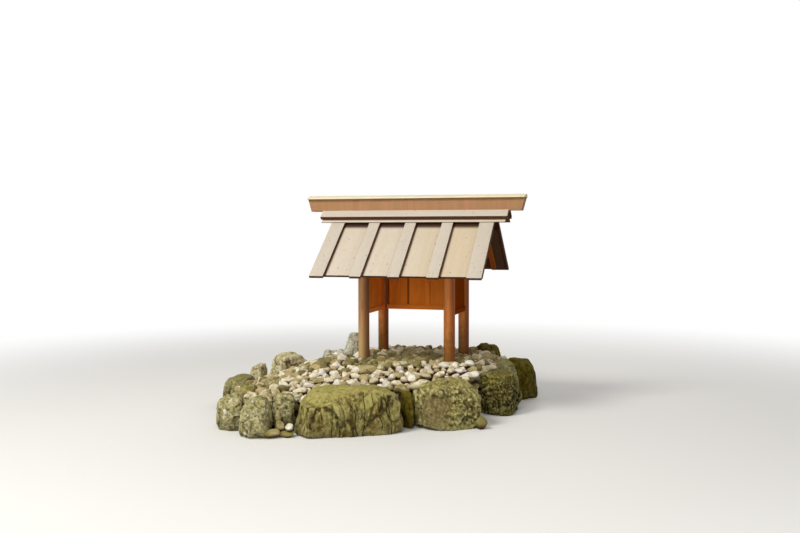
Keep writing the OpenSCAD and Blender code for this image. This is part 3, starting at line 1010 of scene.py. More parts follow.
@dataclass(frozen=True)
class Basis:
    """Directions of a timber: along it, across it and up from it, and its origin."""

    origin: Point
    along: Point
    across: Point

    def place(self, s: Array, profile: Array) -> Array:
        """Puts a timber's points into the model's frame.

        Args:
            s: The points' places along the timber.
            profile: Their places across it and up from it, in a last axis of two.

        Returns:
            The points, in a last axis of three.
        """
        up = np.cross(self.along, self.across)
        return (
            np.array(self.origin)
            + s[..., None] * np.array(self.along)
            + profile[..., 0:1] * np.array(self.across)
            + profile[..., 1:2] * up
        )


@dataclass(frozen=True)
class Cut:
    """The plane that ends a timber: its place, and how it leans with the profile."""

    at: float
    lean: Span = (0.0, 0.0)

    def place(self, profile: Array) -> Array:
        """Gives the cut's place along the timber at each profile point."""
        return self.at + profile @ np.array(self.lean)


def inset(profile: Array, distance: float) -> Array:
    """Moves a profile's sides inwards.

    Each corner moves along the line between its two sides, so both move equally.

    Args:
        profile: The corners, anticlockwise.
        distance: How far the sides move.

    Returns:
        The moved corners.
    """
    ahead = unit(np.roll(profile, -1, 0) - profile)
    normal = np.stack([ahead[:, 1], -ahead[:, 0]], -1)
    before = np.roll(normal, 1, 0)
    scale = 1 + np.sum(normal * before, axis=1, keepdims=True)
    return profile - distance * (normal + before) / scale


def eased(profile: Array, radius: float, steps: int = 3) -> Array:
    """Rounds a profile's corners.

    Each corner becomes a short curve between a point on either side of it, drawn as
    the square blend of the three points.

    Args:
        profile: The corners, anticlockwise.
        radius: Distance of the curve's ends from the corner.
        steps: Number of points on each curve.

    Returns:
        The rounded profile's points.
    """
    first, last = (profile + radius * unit(np.roll(profile, k, 0) - profile) for k in (1, -1))
    t = np.linspace(0, 1, steps)[None, :, None]
    curve = (1 - t) ** 2 * first[:, None] + 2 * t * (1 - t) * profile[:, None] + t**2 * last[:, None]
    return curve.reshape(-1, 2)


def rectangle(width: float, height: float) -> Array:
    """Gives the corners of a rectangle round the origin, anticlockwise."""
    return np.array([[-1, -1], [1, -1], [1, 1], [-1, 1]]) * [width / 2, height / 2]


@dataclass(frozen=True)
class Timber:
    """A straight timber: a profile carried along an axis between two cuts.

    The profile is repeated about every station, in metres. The bow has that many waves
    to a metre.
    """

    basis: Basis
    profile: Array
    start: Cut
    end: Cut
    seed: int
    arris_mm: float = 2.0
    round_corners: bool = True
    bow_mm: float = 0.5
    station: float = 0.09
    waves: float = 2.2

    def surface(self) -> Surface:
        """Builds the timber's skin.

        The profile is repeated at stations between the cuts. At both ends it closes in
        by the arris, so that every edge is slightly rounded. The faces bow in and out
        by a fraction of a millimetre, as hand-planed wood does.

        Returns:
            The closed surface, with its place in the log as the grain attribute.
        """
        arris = self.arris_mm * MM
        full = eased(self.profile, arris) if self.round_corners else self.profile
        inner = inset(self.profile, arris)
        small = eased(inner, arris * 0.5) if self.round_corners else inner
        length = self.end.at - self.start.at
        count = max(4, int(length / self.station))
        share = np.linspace(0, 1, count)[:, None]
        first, last = self.start.place(full) + arris, self.end.place(full) - arris
        body = first * (1 - share) + last * share
        s = np.vstack([self.start.place(small), body, self.end.place(small)])
        rings = np.concatenate([small[None], np.repeat(full[None], count, 0), small[None]])
        centre = self.profile.mean(0)
        where = np.c_[s.ravel() * self.waves, np.zeros((s.size, 2))] + self.seed * 3.7
        sway = lattice_noise(where, self.seed)
        outward = rings - centre
        outward /= np.maximum(np.linalg.norm(outward, axis=2, keepdims=True), 1e-9)
        rings = rings + outward * (sway.reshape(s.shape) * self.bow_mm * MM)[..., None]
        rng = np.random.default_rng(self.seed)
        shift = rng.uniform([-40, -0.06, -0.03], [40, 0.06, 0.06])
        grain = np.concatenate([s[..., None], rings - centre], -1) + shift
        steps = len(full)
        ends = [list(range(steps))[::-1], [(count + 1) * steps + j for j in range(steps)]]
        return Surface(
            self.basis.place(s, rings).reshape(-1, 3),
            ring_quads(count + 2, steps),
            ends,
            {"grain": grain.reshape(-1, 3)},
        )


def finish_piece(
    surface: Surface,
    name: str,
    nodes: Sequence[str],
    material: bpy.types.Material,
    smooth_angle: float | None = 32.0,
) -> bpy.types.Object:
    """Makes a piece of a surface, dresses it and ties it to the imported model.

    Args:
        surface: The piece's shape.
        name: The piece's name.
        nodes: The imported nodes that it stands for, if any.
        material: Its finish.
        smooth_angle: Edges sharper than this stay sharp; None smooths them all.

    Returns:
        The finished object.
    """
    piece = surface.make_object(name, True)
    piece.data.materials.append(material)
    if smooth_angle is not None:
        piece.data.set_sharp_from_angle(angle=math.radians(smooth_angle))
    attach(piece, ROOT)
    if nodes:
        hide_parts(*nodes)
    LOG.info("%s: %d vertices", name, len(piece.data.vertices))
    return piece


def finish_timbers(
    timbers: Sequence[Timber],
    node: str,
    material: bpy.types.Material,
    arris_mm: float,
    ending: str = "wood",
) -> None:
    """Makes one piece of the timbers that stand for a node.

    Args:
        timbers: The timbers.
        node: The node's name.
        material: Their finish.
        arris_mm: The width of their eased edges.
        ending: What the piece's name adds to the node's.
    """
    parts = [replace(timber, arris_mm=arris_mm).surface() for timber in timbers]
    finish_piece(Surface.join(parts), f"{node}_{ending}", [node], material)


def box_timber(low: Sequence[float], high: Sequence[float], axis: int, seed: int) -> Timber:
    """Gives a squared timber that fills a box.

    Args:
        low: The box's lowest corner.
        high: The box's highest corner.
        axis: The axis that the grain follows: 0 for X, 1 for Y and 2 for Z.
        seed: Chooses the grain.

    Returns:
        The timber.
    """
    low, high = np.array(low), np.array(high)
    size = high - low
    profile = rectangle(size[(axis + 1) % 3], size[(axis + 2) % 3])
    basis = Basis(tuple((low + high) / 2), AXES[axis], AXES[(axis + 1) % 3])
    return Timber(basis, profile, Cut(-size[axis] / 2), Cut(size[axis] / 2), seed)


def end_profile(node: str) -> Array:
    """Finds the corners of a node that is a straight extrusion along X, anticlockwise."""
    corners = np.unique(np.round(node_vertices(node)[:, 1:], 5), axis=0)
    return corners[convex_hull_2d([tuple(c) for c in corners])]


def long_timber(node: str, seed: int) -> Timber:
    """Gives a timber with the end profile of a node that is one straight extrusion along X."""
    (west, *_), (east, *_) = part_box(node)
    return Timber(Basis((0, 0, 0), X_AXIS, Y_AXIS), end_profile(node), Cut(west), Cut(east), seed)


@dataclass(frozen=True)
class Posts:
    """The four round posts: their edge and their bow in millimetres."""

    nodes: tuple[str, ...] = ("post_front_left", "post_front_right", "post_rear_left", "post_rear_right")
    sides: int = 56
    arris_mm: float = 3.0
    bow_mm: float = 0.4

    def build(self) -> None:
        """Turns each post: a circle carried up its axis between two level cuts."""
        sunlit, in_shade = (wood.value.material() for wood in (Wood.POST, Wood.POST_IN_SHADE))
        turn = np.linspace(0, 2 * np.pi, self.sides, endpoint=False)
        for seed, node in enumerate(self.nodes, 11):
            # The front left post gets the sunlit copy of the post wood, the others the copy in painted
            # shade.
            material = sunlit if node == self.nodes[0] else in_shade
            low, high = node_box(node)
            circle = (high[0] - low[0]) / 2 * np.stack([np.cos(turn), np.sin(turn)], -1)
            basis = Basis((*(low + high)[:2] / 2, 0.0), Z_AXIS, X_AXIS)
            post = Timber(
                basis, circle, Cut(low[2]), Cut(high[2]), seed, round_corners=False, bow_mm=self.bow_mm
            )
            finish_timbers([post], node, material, self.arris_mm)


@dataclass(frozen=True)
class FrameTimbers:
    """Ties, plates, struts and purlin: their arris in millimetres."""

    ties: tuple[str, ...] = ("tie_left", "tie_right")
    struts: tuple[str, ...] = ("king_strut_left", "king_strut_right")
    long_ones: tuple[str, ...] = ("plate_front", "plate_rear", "ridge_purlin")
    arris_mm: float = 2.5

    def build(self) -> None:
        """Builds each timber along its own axis."""
        material = Wood.FRAME.value.material()
        timbers = {node: box_timber(*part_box(node), 1, seed) for seed, node in enumerate(self.ties, 21)}
        for seed, node in enumerate(self.struts, 25):
            timbers[node] = box_timber(*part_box(node), 2, seed)
        for seed, node in enumerate(self.long_ones, 31):
            timbers[node] = long_timber(node, seed)
        for node, timber in timbers.items():
            finish_timbers([timber], node, material, self.arris_mm)


@dataclass(frozen=True)
class Walls:
    """Foot rails, upright boards and the cover strip, each with the axis it runs along."""

    rails: tuple[tuple[str, int], ...] = (
        ("foot_rail_left", 1), ("foot_rail_right", 1), ("foot_rail_rear", 0),
    )
    walls: tuple[tuple[str, int], ...] = (("wall_left", 1), ("wall_right", 1), ("wall_rear", 0))
    strip: str = "rear_strip"
    # The right wall and its foot rail get the copy of the wall wood in painted shade.
    shade_side: tuple[str, ...] = ("wall_right", "foot_rail_right")
    arris_mm: float = 1.8
    tongue_mm: float = 6.0
    tongue_reach_mm: float = 3.0

    def build(self) -> None:
        """Builds each board as a timber of its own."""
        woods = (Wood.WALL, Wood.WALL_IN_SHADE, Wood.WALL_REAR)
        clear, shade_side, rear = (wood.value.material() for wood in woods)
        found = []
        for seed, (node, axis) in enumerate(self.rails, 41):
            material = shade_side if node in self.shade_side else clear
            found.append(([box_timber(*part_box(node), axis, seed)], node, material, "wood"))
        for seed, (node, axis) in enumerate(self.walls, 5):
            material = rear if axis == 0 else shade_side if node in self.shade_side else clear
            found.append((self.boards(node, axis, seed * 10), node, material, "boards"))
        found.append(([box_timber(*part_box(self.strip), 2, 97)], self.strip, clear, "wood"))
        for timbers, node, material, ending in found:
            finish_timbers(timbers, node, material, self.arris_mm, ending)

    def boards(self, node: str, axis: int, seed: int) -> list[Timber]:
        """Splits a wall into its upright boards and the tongues that join them.

        Args:
            node: The wall's node.
            axis: The axis along which the boards lie side by side.
            seed: Chooses the grain.

        Returns:
            One timber a board, then one a tongue, which closes the joint to the light.
        """
        low, high = (list(c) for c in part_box(node))
        found, ends = [], spans(node, axis)
        for i, (first, last) in enumerate(ends):
            low[axis], high[axis] = first, last
            found.append(box_timber(tuple(low), tuple(high), 2, seed + i))
        side, reach = 1 - axis, self.tongue_reach_mm * MM
        middle = (low[side] + high[side]) / 2
        low[side], high[side] = middle - self.tongue_mm * MM / 2, middle + self.tongue_mm * MM / 2
        for i, (last, first) in enumerate(zip(ends[:-1, 1], ends[1:, 0])):
            low[axis], high[axis] = last - reach, first + reach
            found.append(box_timber(tuple(low), tuple(high), 2, seed + i))
        return found


@dataclass(frozen=True)
class Roof:
    """Both slopes: rafters, boards, battens and ridge boards, with their arris in millimetres."""

    layers: tuple[tuple[str, Wood, str], ...] = (
        ("rafters", Wood.FRAME, "frame_timber"),
        ("roof_boards", Wood.ROOF, "roof_board"),
        ("battens", Wood.BATTEN, "roof_board"),
    )
    ridge_layers: tuple[tuple[str, Wood], ...] = (
        ("ridge_board_low", Wood.STRIP),
        ("ridge_board_high", Wood.BATTEN),
    )
    arris_mm: float = 2.0

    def build(self) -> None:
        """Builds every layer of the front and the rear slope."""
        woods = (Wood.FRAME, Wood.ROOF, Wood.BATTEN, Wood.STRIP)
        finishes = {wood: wood.value.material() for wood in woods}
        for k, (name, side) in enumerate((("front", -1.0), ("rear", 1.0))):
            for layer, wood, slot in self.layers:
                node = f"{layer}_{name}"
                timbers = self.down_slope(node, side, 100 * k + len(layer))
                finish_timbers(timbers, node, finishes[wood], self.arris_mm)
            for layer, wood in self.ridge_layers:
                node = f"{layer}_{name}"
                board = long_timber(node, 300 + 10 * k + len(layer))
                finish_timbers([board], node, finishes[wood], self.arris_mm)

    @staticmethod
    def slope_angle(node: str) -> float:
        """Reads the slope from the node's largest upward face.

        Args:
            node: The layer's node.

        Returns:
            The slope in radians.
        """
        normals, _, areas = node_faces(node)
        up = normals[np.argmax(areas * (normals[:, 2] > 0.1))]
        return math.atan2(abs(up[1]), up[2])

    def slope_space(self, node: str, side: float) -> tuple[Array, float]:
        """Turns a node's corners into distances along X, down the slope and square to it.

        Args:
            node: The layer's node.
            side: -1 for the front slope, 1 for the rear one.

        Returns:
            The corners, and the slope in radians.
        """
        tilt = self.slope_angle(node)
        x, y, z = node_vertices(node).T
        reach = y * side
        down = reach * math.cos(tilt) - z * math.sin(tilt)
        square = reach * math.sin(tilt) + z * math.cos(tilt)
        return np.stack([x, down, square], -1), tilt

    def down_slope(self, node: str, side: float, seed: int) -> list[Timber]:
        """Builds a layer's boards, whose grain runs down the slope.

        A board starts at the upright plane of the ridge and ends square to the slope.

        Args:
            node: The layer's node.
            side: -1 for the front slope, 1 for the rear one.
            seed: Chooses the grain.

        Returns:
            One timber a board.
        """
        points, tilt = self.slope_space(node, side)
        sin, cos = math.sin(tilt), math.cos(tilt)
        inner, outer = points[:, 2].min(), points[:, 2].max()
        middle = (inner + outer) / 2
        ridge = np.min(node_vertices(node)[:, 1] * side)
        start = Cut((ridge - middle * sin) / cos, (0.0, -sin / cos))
        found = []
        for i, (first, last) in enumerate(spans(node, 0)):
            origin = ((first + last) / 2, side * middle * sin, middle * cos)
            basis = Basis(origin, (0.0, side * cos, -sin), (-side, 0.0, 0.0))
            profile = rectangle(last - first, outer - inner)
            found.append(Timber(basis, profile, start, Cut(points[:, 1].max()), seed + i))
        return found


@dataclass(frozen=True)
class Ridge:
    """The ridge beam and its cap, both with ends that lean out: their arris in millimetres."""

    parts: tuple[tuple[str, Wood, str], ...] = (
        ("ridge_beam", Wood.BEAM, "ridge_timber"),
        ("ridge_cap", Wood.CAP, "cap_board"),
    )
    arris_mm: float = 2.5

    def build(self) -> None:
        """Builds the beam and the cap as profiles carried along X.

        The beam is drawn whole: its notch lies over the ridge boards and does not show.
        """
        for node, wood, slot in self.parts:
            timber, finish = self.leaning(node, 61 + len(node)), wood.value.material()
            finish_timbers([timber], node, finish, self.arris_mm)

    @staticmethod
    def leaning(node: str, seed: int) -> Timber:
        """Carries the node's profile along X between cuts that lean out upwards.

        The cut's plane goes through the farthest points of the profile's corners.

        Args:
            node: The node's name.
            seed: Chooses the grain.

        Returns:
            The timber.
        """
        profile, points = end_profile(node), node_vertices(node)
        gaps = np.linalg.norm(points[:, None, 1:] - profile[None], axis=2)
        reach = [np.abs(points[gap < 1e-4, 0]).max() for gap in gaps.T]
        lean, at = np.polyfit(profile[:, 1], reach, 1)
        left, right = Cut(-at, (0.0, -lean)), Cut(at, (0.0, lean))
        return Timber(Basis((0, 0, 0), X_AXIS, Y_AXIS), profile, left, right, seed)


# Stones


@dataclass(frozen=True)
class Weathering:
    """How a rock wears: the depth of each kind of relief and its width, in millimetres."""

    lumps: Span
    facets: Span
    grain: Span
    ribs: Span | None = None
    pits: Span | None = None

    def relief(self, points: Array, steep: Array, seed: int) -> Array:
        """Works out how far each point of a boulder moves in or out.

        Lumps are layered noise. Facets are flat breaks, each tilted its own way. Grain is
        fine layered noise. Ribs stand upright on the steep sides: broad crests between
        narrow cracks, which lie where noise that hardly changes with height crosses zero.
        Pits are round dents round scattered points.

        Args:
            points: Places round the boulder's centre, in metres.
            steep: 0 on level ground to 1 on an upright side, one number a point.
            seed: Chooses the noise.

        Returns:
            The relief in metres, positive outwards.
        """
        depth = self.lumps[0] * layered_noise(points / (self.lumps[1] * MM), seed, 2)
        bend = [layered_noise(points / 0.05, seed + k, 2) for k in (31, 32, 33)]
        bent = points + 0.012 * np.stack(bend, -1)
        depth += self.facets[0] * facet_noise(bent / (self.facets[1] * MM), seed + 7)
        depth += self.grain[0] * layered_noise(points / (self.grain[1] * MM), seed + 11, 3, 0.6)
        if self.ribs:
            size = self.ribs[1] * MM
            warp = layered_noise(points / 0.2, seed + 2, 2) * size * 0.4
            plan = np.stack([points[:, 0] + warp, points[:, 1] - warp, points[:, 2] * size / 0.7], -1)
            plan /= size
            crack = 1 - np.minimum(np.abs(lattice_noise(plan, seed + 3)) / 0.2, 1)
            fine = 1 - np.minimum(np.abs(lattice_noise(plan * [3.4, 3.4, 2.0], seed + 4)) / 0.25, 1)
            swell = lattice_noise(plan * 0.7, seed + 5)
            depth += self.ribs[0] * steep * (1.1 * swell - crack - 0.3 * fine)
        if self.pits:
            gap = pit_noise(points / (self.pits[1] * MM), seed + 6)
            depth -= self.pits[0] * np.clip(1.1 - gap / 0.45, 0, 1) ** 0.7
        return (depth - depth.mean()) * MM


class Form(Enum):
    """The kinds of rock in the border, by how they break and weather."""

    LAYERED = Weathering(lumps=(6, 170), facets=(14, 150), grain=(2.5, 24), ribs=(14, 110))
    ROUGH = Weathering(lumps=(7, 140), facets=(16, 120), grain=(6, 28))
    CRAGGY = Weathering(lumps=(14, 120), facets=(13, 80), grain=(7, 32), pits=(8, 60))
    SMOOTH = Weathering(lumps=(10, 190), facets=(8, 150), grain=(2, 30))
    ANGULAR = Weathering(lumps=(5, 140), facets=(16, 120), grain=(3, 26))
    BROKEN = Weathering(lumps=(5, 120), facets=(18, 115), grain=(3.5, 26), pits=(6, 70))


@dataclass(frozen=True)
class Boulder:
    """One boulder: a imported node's solid, worn by its own kind of weathering.

    The scoop is the direction of a patch that a flake has left, with its depth. Rock
    that stands out by crest_mm is a full crest, and rock as much deeper a full hollow.
    """

    node: str
    form: Form
    rock: Rock
    seed: int
    slot: str = "mossy_boulder"
    rings: int = 90
    steps: int = 170
    rounding: int = 1
    proud_mm: float = 10.0
    chips: int = 12
    chip_share: Span = (0.03, 0.15)
    scoop: Point | None = None
    scoop_mm: float = 14.0
    crest_mm: float = 6.0

    def surface(self) -> Surface:
        """Builds the boulder's skin.

        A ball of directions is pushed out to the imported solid, less the flakes that have
        broken off. The distances are averaged with their neighbours, which rounds the
        solid's edges, and then moved in and out by the rock's own relief, of which a scoop
        keeps a quarter. Sides of 75 degrees and more are steep, and those under 45 are
        level. Moss grows on level rock, in patches 125 mm wide, and less on what stands out.

        Returns:
            The closed surface, with moss, hollow, crest and bare attributes from 0 to 1.
        """
        solid = ConvexSolid.of(self.node)
        directions, quads, caps = sphere_grid(self.rings, self.steps)
        reach = self.averaged(self.chipped(directions, solid.reach(directions)), self.rounding)
        level = self.averaged(solid.upward(directions), self.rounding * 2)
        steep = 1 - np.clip((level - 0.25) / 0.45, 0, 1)
        bare = self.scooped(directions)
        relief = self.form.value.relief(directions * reach[:, None], steep, self.seed)
        worn = reach + relief * (1 - 0.75 * bare) - self.scoop_mm * MM * bare
        points = directions * worn[:, None] + solid.centre
        low, high = node_box(self.node)
        proud = self.proud_mm * MM
        points = np.clip(points, low - [proud, proud, 0.0], high + proud)
        stand_out = (worn - self.averaged(worn, 12)) / (self.crest_mm * MM)
        patch = layered_noise(points * 8, self.seed + 5, 3)
        moss = np.clip(0.05 + 0.95 * np.maximum(level, 0) + 0.4 * patch - 0.15 * stand_out, 0, 1)
        # The rock's finish paints the hollows as shade and the crests as highlights.
        hollow, crest = np.clip(-stand_out, 0, 1), np.clip(stand_out, 0, 1)
        marks = {"moss": moss, "hollow": hollow, "crest": crest, "bare": bare}
        return Surface(points, quads, caps, marks)

    def chipped(self, directions: Array, reach: Array) -> Array:
        """Breaks flakes off the skin, by planes that lie a little inside its outline.

        A plane's distance is the skin's furthest point along its normal less the flake's
        share of it, and each direction keeps the nearest of skin and planes.

        Args:
            directions: Unit directions from the boulder's centre.
            reach: The skin's distance in each direction, in metres.

        Returns:
            The distances that are left.
        """
        rng = np.random.default_rng(self.seed + 17)
        normals = unit(rng.normal(size=(self.chips, 3)))
        furthest = ((directions * reach[:, None]) @ normals.T).max(0)
        planes = furthest * (1 - rng.uniform(*self.chip_share, self.chips))
        ahead = np.maximum(directions @ normals.T, 1e-6) / planes
        return np.minimum(reach, 1 / ahead.max(1))

    def scooped(self, directions: Array) -> Array:
        """Marks the smooth patch that a flake has left round the scoop's direction.

        Its edge is a circle made ragged by layered noise.

        Args:
            directions: Unit directions from the boulder's centre.

        Returns:
            1 in the patch to 0 outside it, one number a direction.
        """
        if self.scoop is None:
            return np.zeros(len(directions))
        facing = directions @ unit(np.array(self.scoop))
        ragged = facing + 0.08 * layered_noise(directions * 4, self.seed + 9, 3)
        return np.clip((ragged - 0.76) / 0.16, 0, 1)

    def averaged(self, values: Array, times: int) -> Array:
        """Averages each value of the ball's grid with its four neighbours.

        Args:
            values: One number a direction, with the two poles last.
            times: How often.

        Returns:
            The averaged numbers.
        """
        grid = values[:-2].reshape(self.rings, self.steps)
        for _ in range(times):
            south, north = (np.full(self.steps, row.mean()) for row in (grid[0], grid[-1]))
            padded = np.vstack([south, grid, north])
            sides = np.roll(grid, 1, 1) + np.roll(grid, -1, 1)
            grid = (padded[:-2] + padded[2:] + sides + 2 * grid) / 6
        return np.concatenate([grid.ravel(), [grid[0].mean(), grid[-1].mean()]])


@dataclass(frozen=True)
class Boulders:
    """The border stones of the bed and the stone beside the front left post."""

    stones: tuple[Boulder, ...] = (
        Boulder("stone_front_corner", Form.BROKEN, Rock.LICHENED, 201, steps=220, rings=110, chips=20),
        Boulder("stone_left_corner", Form.BROKEN, Rock.LICHENED, 211, steps=220, rings=110, chips=20),
        Boulder("stone_front_wedge", Form.ANGULAR, Rock.SHADED, 221),
        Boulder(
            "stone_front_long", Form.LAYERED, Rock.BEDDED, 231, rings=150, steps=420,
            chips=8, chip_share=(0.02, 0.08),
        ),
        Boulder("stone_front_gap", Form.SMOOTH, Rock.SMOOTH, 236),
        Boulder(
            "stone_front_broad", Form.ROUGH, Rock.ROUGH, 241, rings=130, steps=280,
            chip_share=(0.02, 0.1), scoop=(-0.12, -1.0, -0.02),
        ),
        Boulder("stone_right_front", Form.CRAGGY, Rock.DARK, 251, rings=110, steps=220, chips=7),
        Boulder("stone_right_flat", Form.SMOOTH, Rock.GREY, 261),
        Boulder("stone_right_tall", Form.SMOOTH, Rock.SMOOTH, 271),
        Boulder("stone_rear_right", Form.ROUGH, Rock.SMOOTH, 281, chips=4, chip_share=(0.02, 0.06)),
        Boulder("stone_rear_middle", Form.ROUGH, Rock.ROUGH, 291),
        Boulder("stone_rear_left", Form.LAYERED, Rock.BEDDED, 301, rings=110, steps=260),
        Boulder("stone_rear_corner", Form.ANGULAR, Rock.WHITE, 311),
        Boulder("stone_left_pitted", Form.BROKEN, Rock.PALE, 321, "pale_boulder", steps=220),
        Boulder("stone_left_upper", Form.ANGULAR, Rock.PALE, 326, "pale_boulder"),
        Boulder("stone_left_long", Form.LAYERED, Rock.GREY, 331, "pale_boulder"),
        Boulder("stone_by_post", Form.BROKEN, Rock.WHITE, 341, "pale_boulder"),
    )

    def build(self) -> None:
        """Builds each boulder with the finish of its rock."""
        finishes = {rock: rock.value.material() for rock in Rock}
        for stone in self.stones:
            name, rock = f"{stone.node}_rock", finishes[stone.rock]
            finish_piece(stone.surface(), name, [stone.node], rock, None)


@dataclass(frozen=True)
class StoneField:
    """Many small stones, each a ball cut by flat breaks and worn, joined in one mesh."""

    seed: int
    rings: int = 5
    steps: int = 9
    breaks: int = 9

    def surface(
        self, places: Array, sizes: Array, tints: Array, mosses: Array, turns: Array | None = None
    ) -> Surface:
        """Builds all the stones at once.

        Each stone is a ball of directions, pushed out to the nearest of a few random
        planes round it, scaled to its three half sizes, made lumpy by noise, and
        tilted and turned. What would lie under the ground is pressed flat on it.

        Args:
            places: The stones' centres, one row each.
            sizes: Their half length, half width and half height, one row each.
            tints: A number from 0 to 1 each, which the finish turns into a colour.
            mosses: A number from 0 to 1 each.
            turns: Their turns about Z in radians; random where left out.

        Returns:
            One surface with tint, moss and hollow attributes.
        """
        rng = np.random.default_rng(self.seed)
        directions, quads, caps = sphere_grid(self.rings, self.steps)
        count, corners = len(places), len(directions)
        planes = unit(rng.normal(size=(count, self.breaks, 3)))
        offsets = rng.uniform(0.46, 0.96, (count, self.breaks, 1))
        facing = np.maximum(planes @ directions.T, 0.0) / offsets
        reach = np.minimum(1 / np.maximum(facing.max(1), 1e-3), 1.12)[..., None]
        spots = (directions[None] * 1.3 + rng.uniform(-90, 90, (count, 1, 3))).reshape(-1, 3)
        lumps = lattice_noise(spots, self.seed).reshape(count, corners, 1)
        shape = directions[None] * reach * (1.04 + 0.2 * lumps) * sizes[:, None, :]
        turned = np.einsum("nij,nkj->nki", self.turns(count, rng, turns), shape)
        vertices = (turned + places[:, None, :]).reshape(-1, 3)
        vertices[:, 2] = np.maximum(vertices[:, 2], 0.0)
        starts = np.arange(count)[:, None, None] * corners
        others = [[i + k * corners for i in f] for k in range(count) for f in caps]
        # The hollow mark darkens each stone's lower part: painted shade between the stones, with some
        # soil.
        low = np.clip(0.12 - 1.7 * turned[..., 2] / np.maximum(sizes[:, None, 2], 1e-6), 0, 1)
        hue, moss = np.repeat(tints, corners), np.repeat(mosses, corners)
        marks = {"tint": hue, "moss": moss, "hollow": low.ravel()}
        return Surface(vertices, (quads[None] + starts).reshape(-1, 4), others, marks)

    @staticmethod
    def turns(count: int, rng: np.random.Generator, fixed: Array | None) -> Array:
        """Gives a turn about Z after a small tilt for each stone.

        Args:
            count: Number of stones.
            rng: The source of the random numbers.
            fixed: The turns about Z, if they are not random.

        Returns:
            One 3 by 3 matrix a stone.
        """
        turn, tilt = rng.uniform(0, 2 * np.pi, count), rng.normal(0, 0.22, count)
        if fixed is not None:
            turn, tilt = fixed, tilt * 0.3
        c, s, ct, st = np.cos(turn), np.sin(turn), np.cos(tilt), np.sin(tilt)
        zero = np.zeros(count)
        rows = [[c, -s * ct, s * st], [s, c * ct, -c * st], [zero, st, ct]]
        return np.moveaxis(np.array(rows), -1, 0)


@dataclass(frozen=True)
class LooseStone:
    """A small stone that the photograph shows by itself: its foot, size, turn and colour.

    A foot without a height lies on the bed.
    """

    foot: tuple[float, float, float | None]
    size: Point
    turn_deg: float
    tint: float
    moss: float


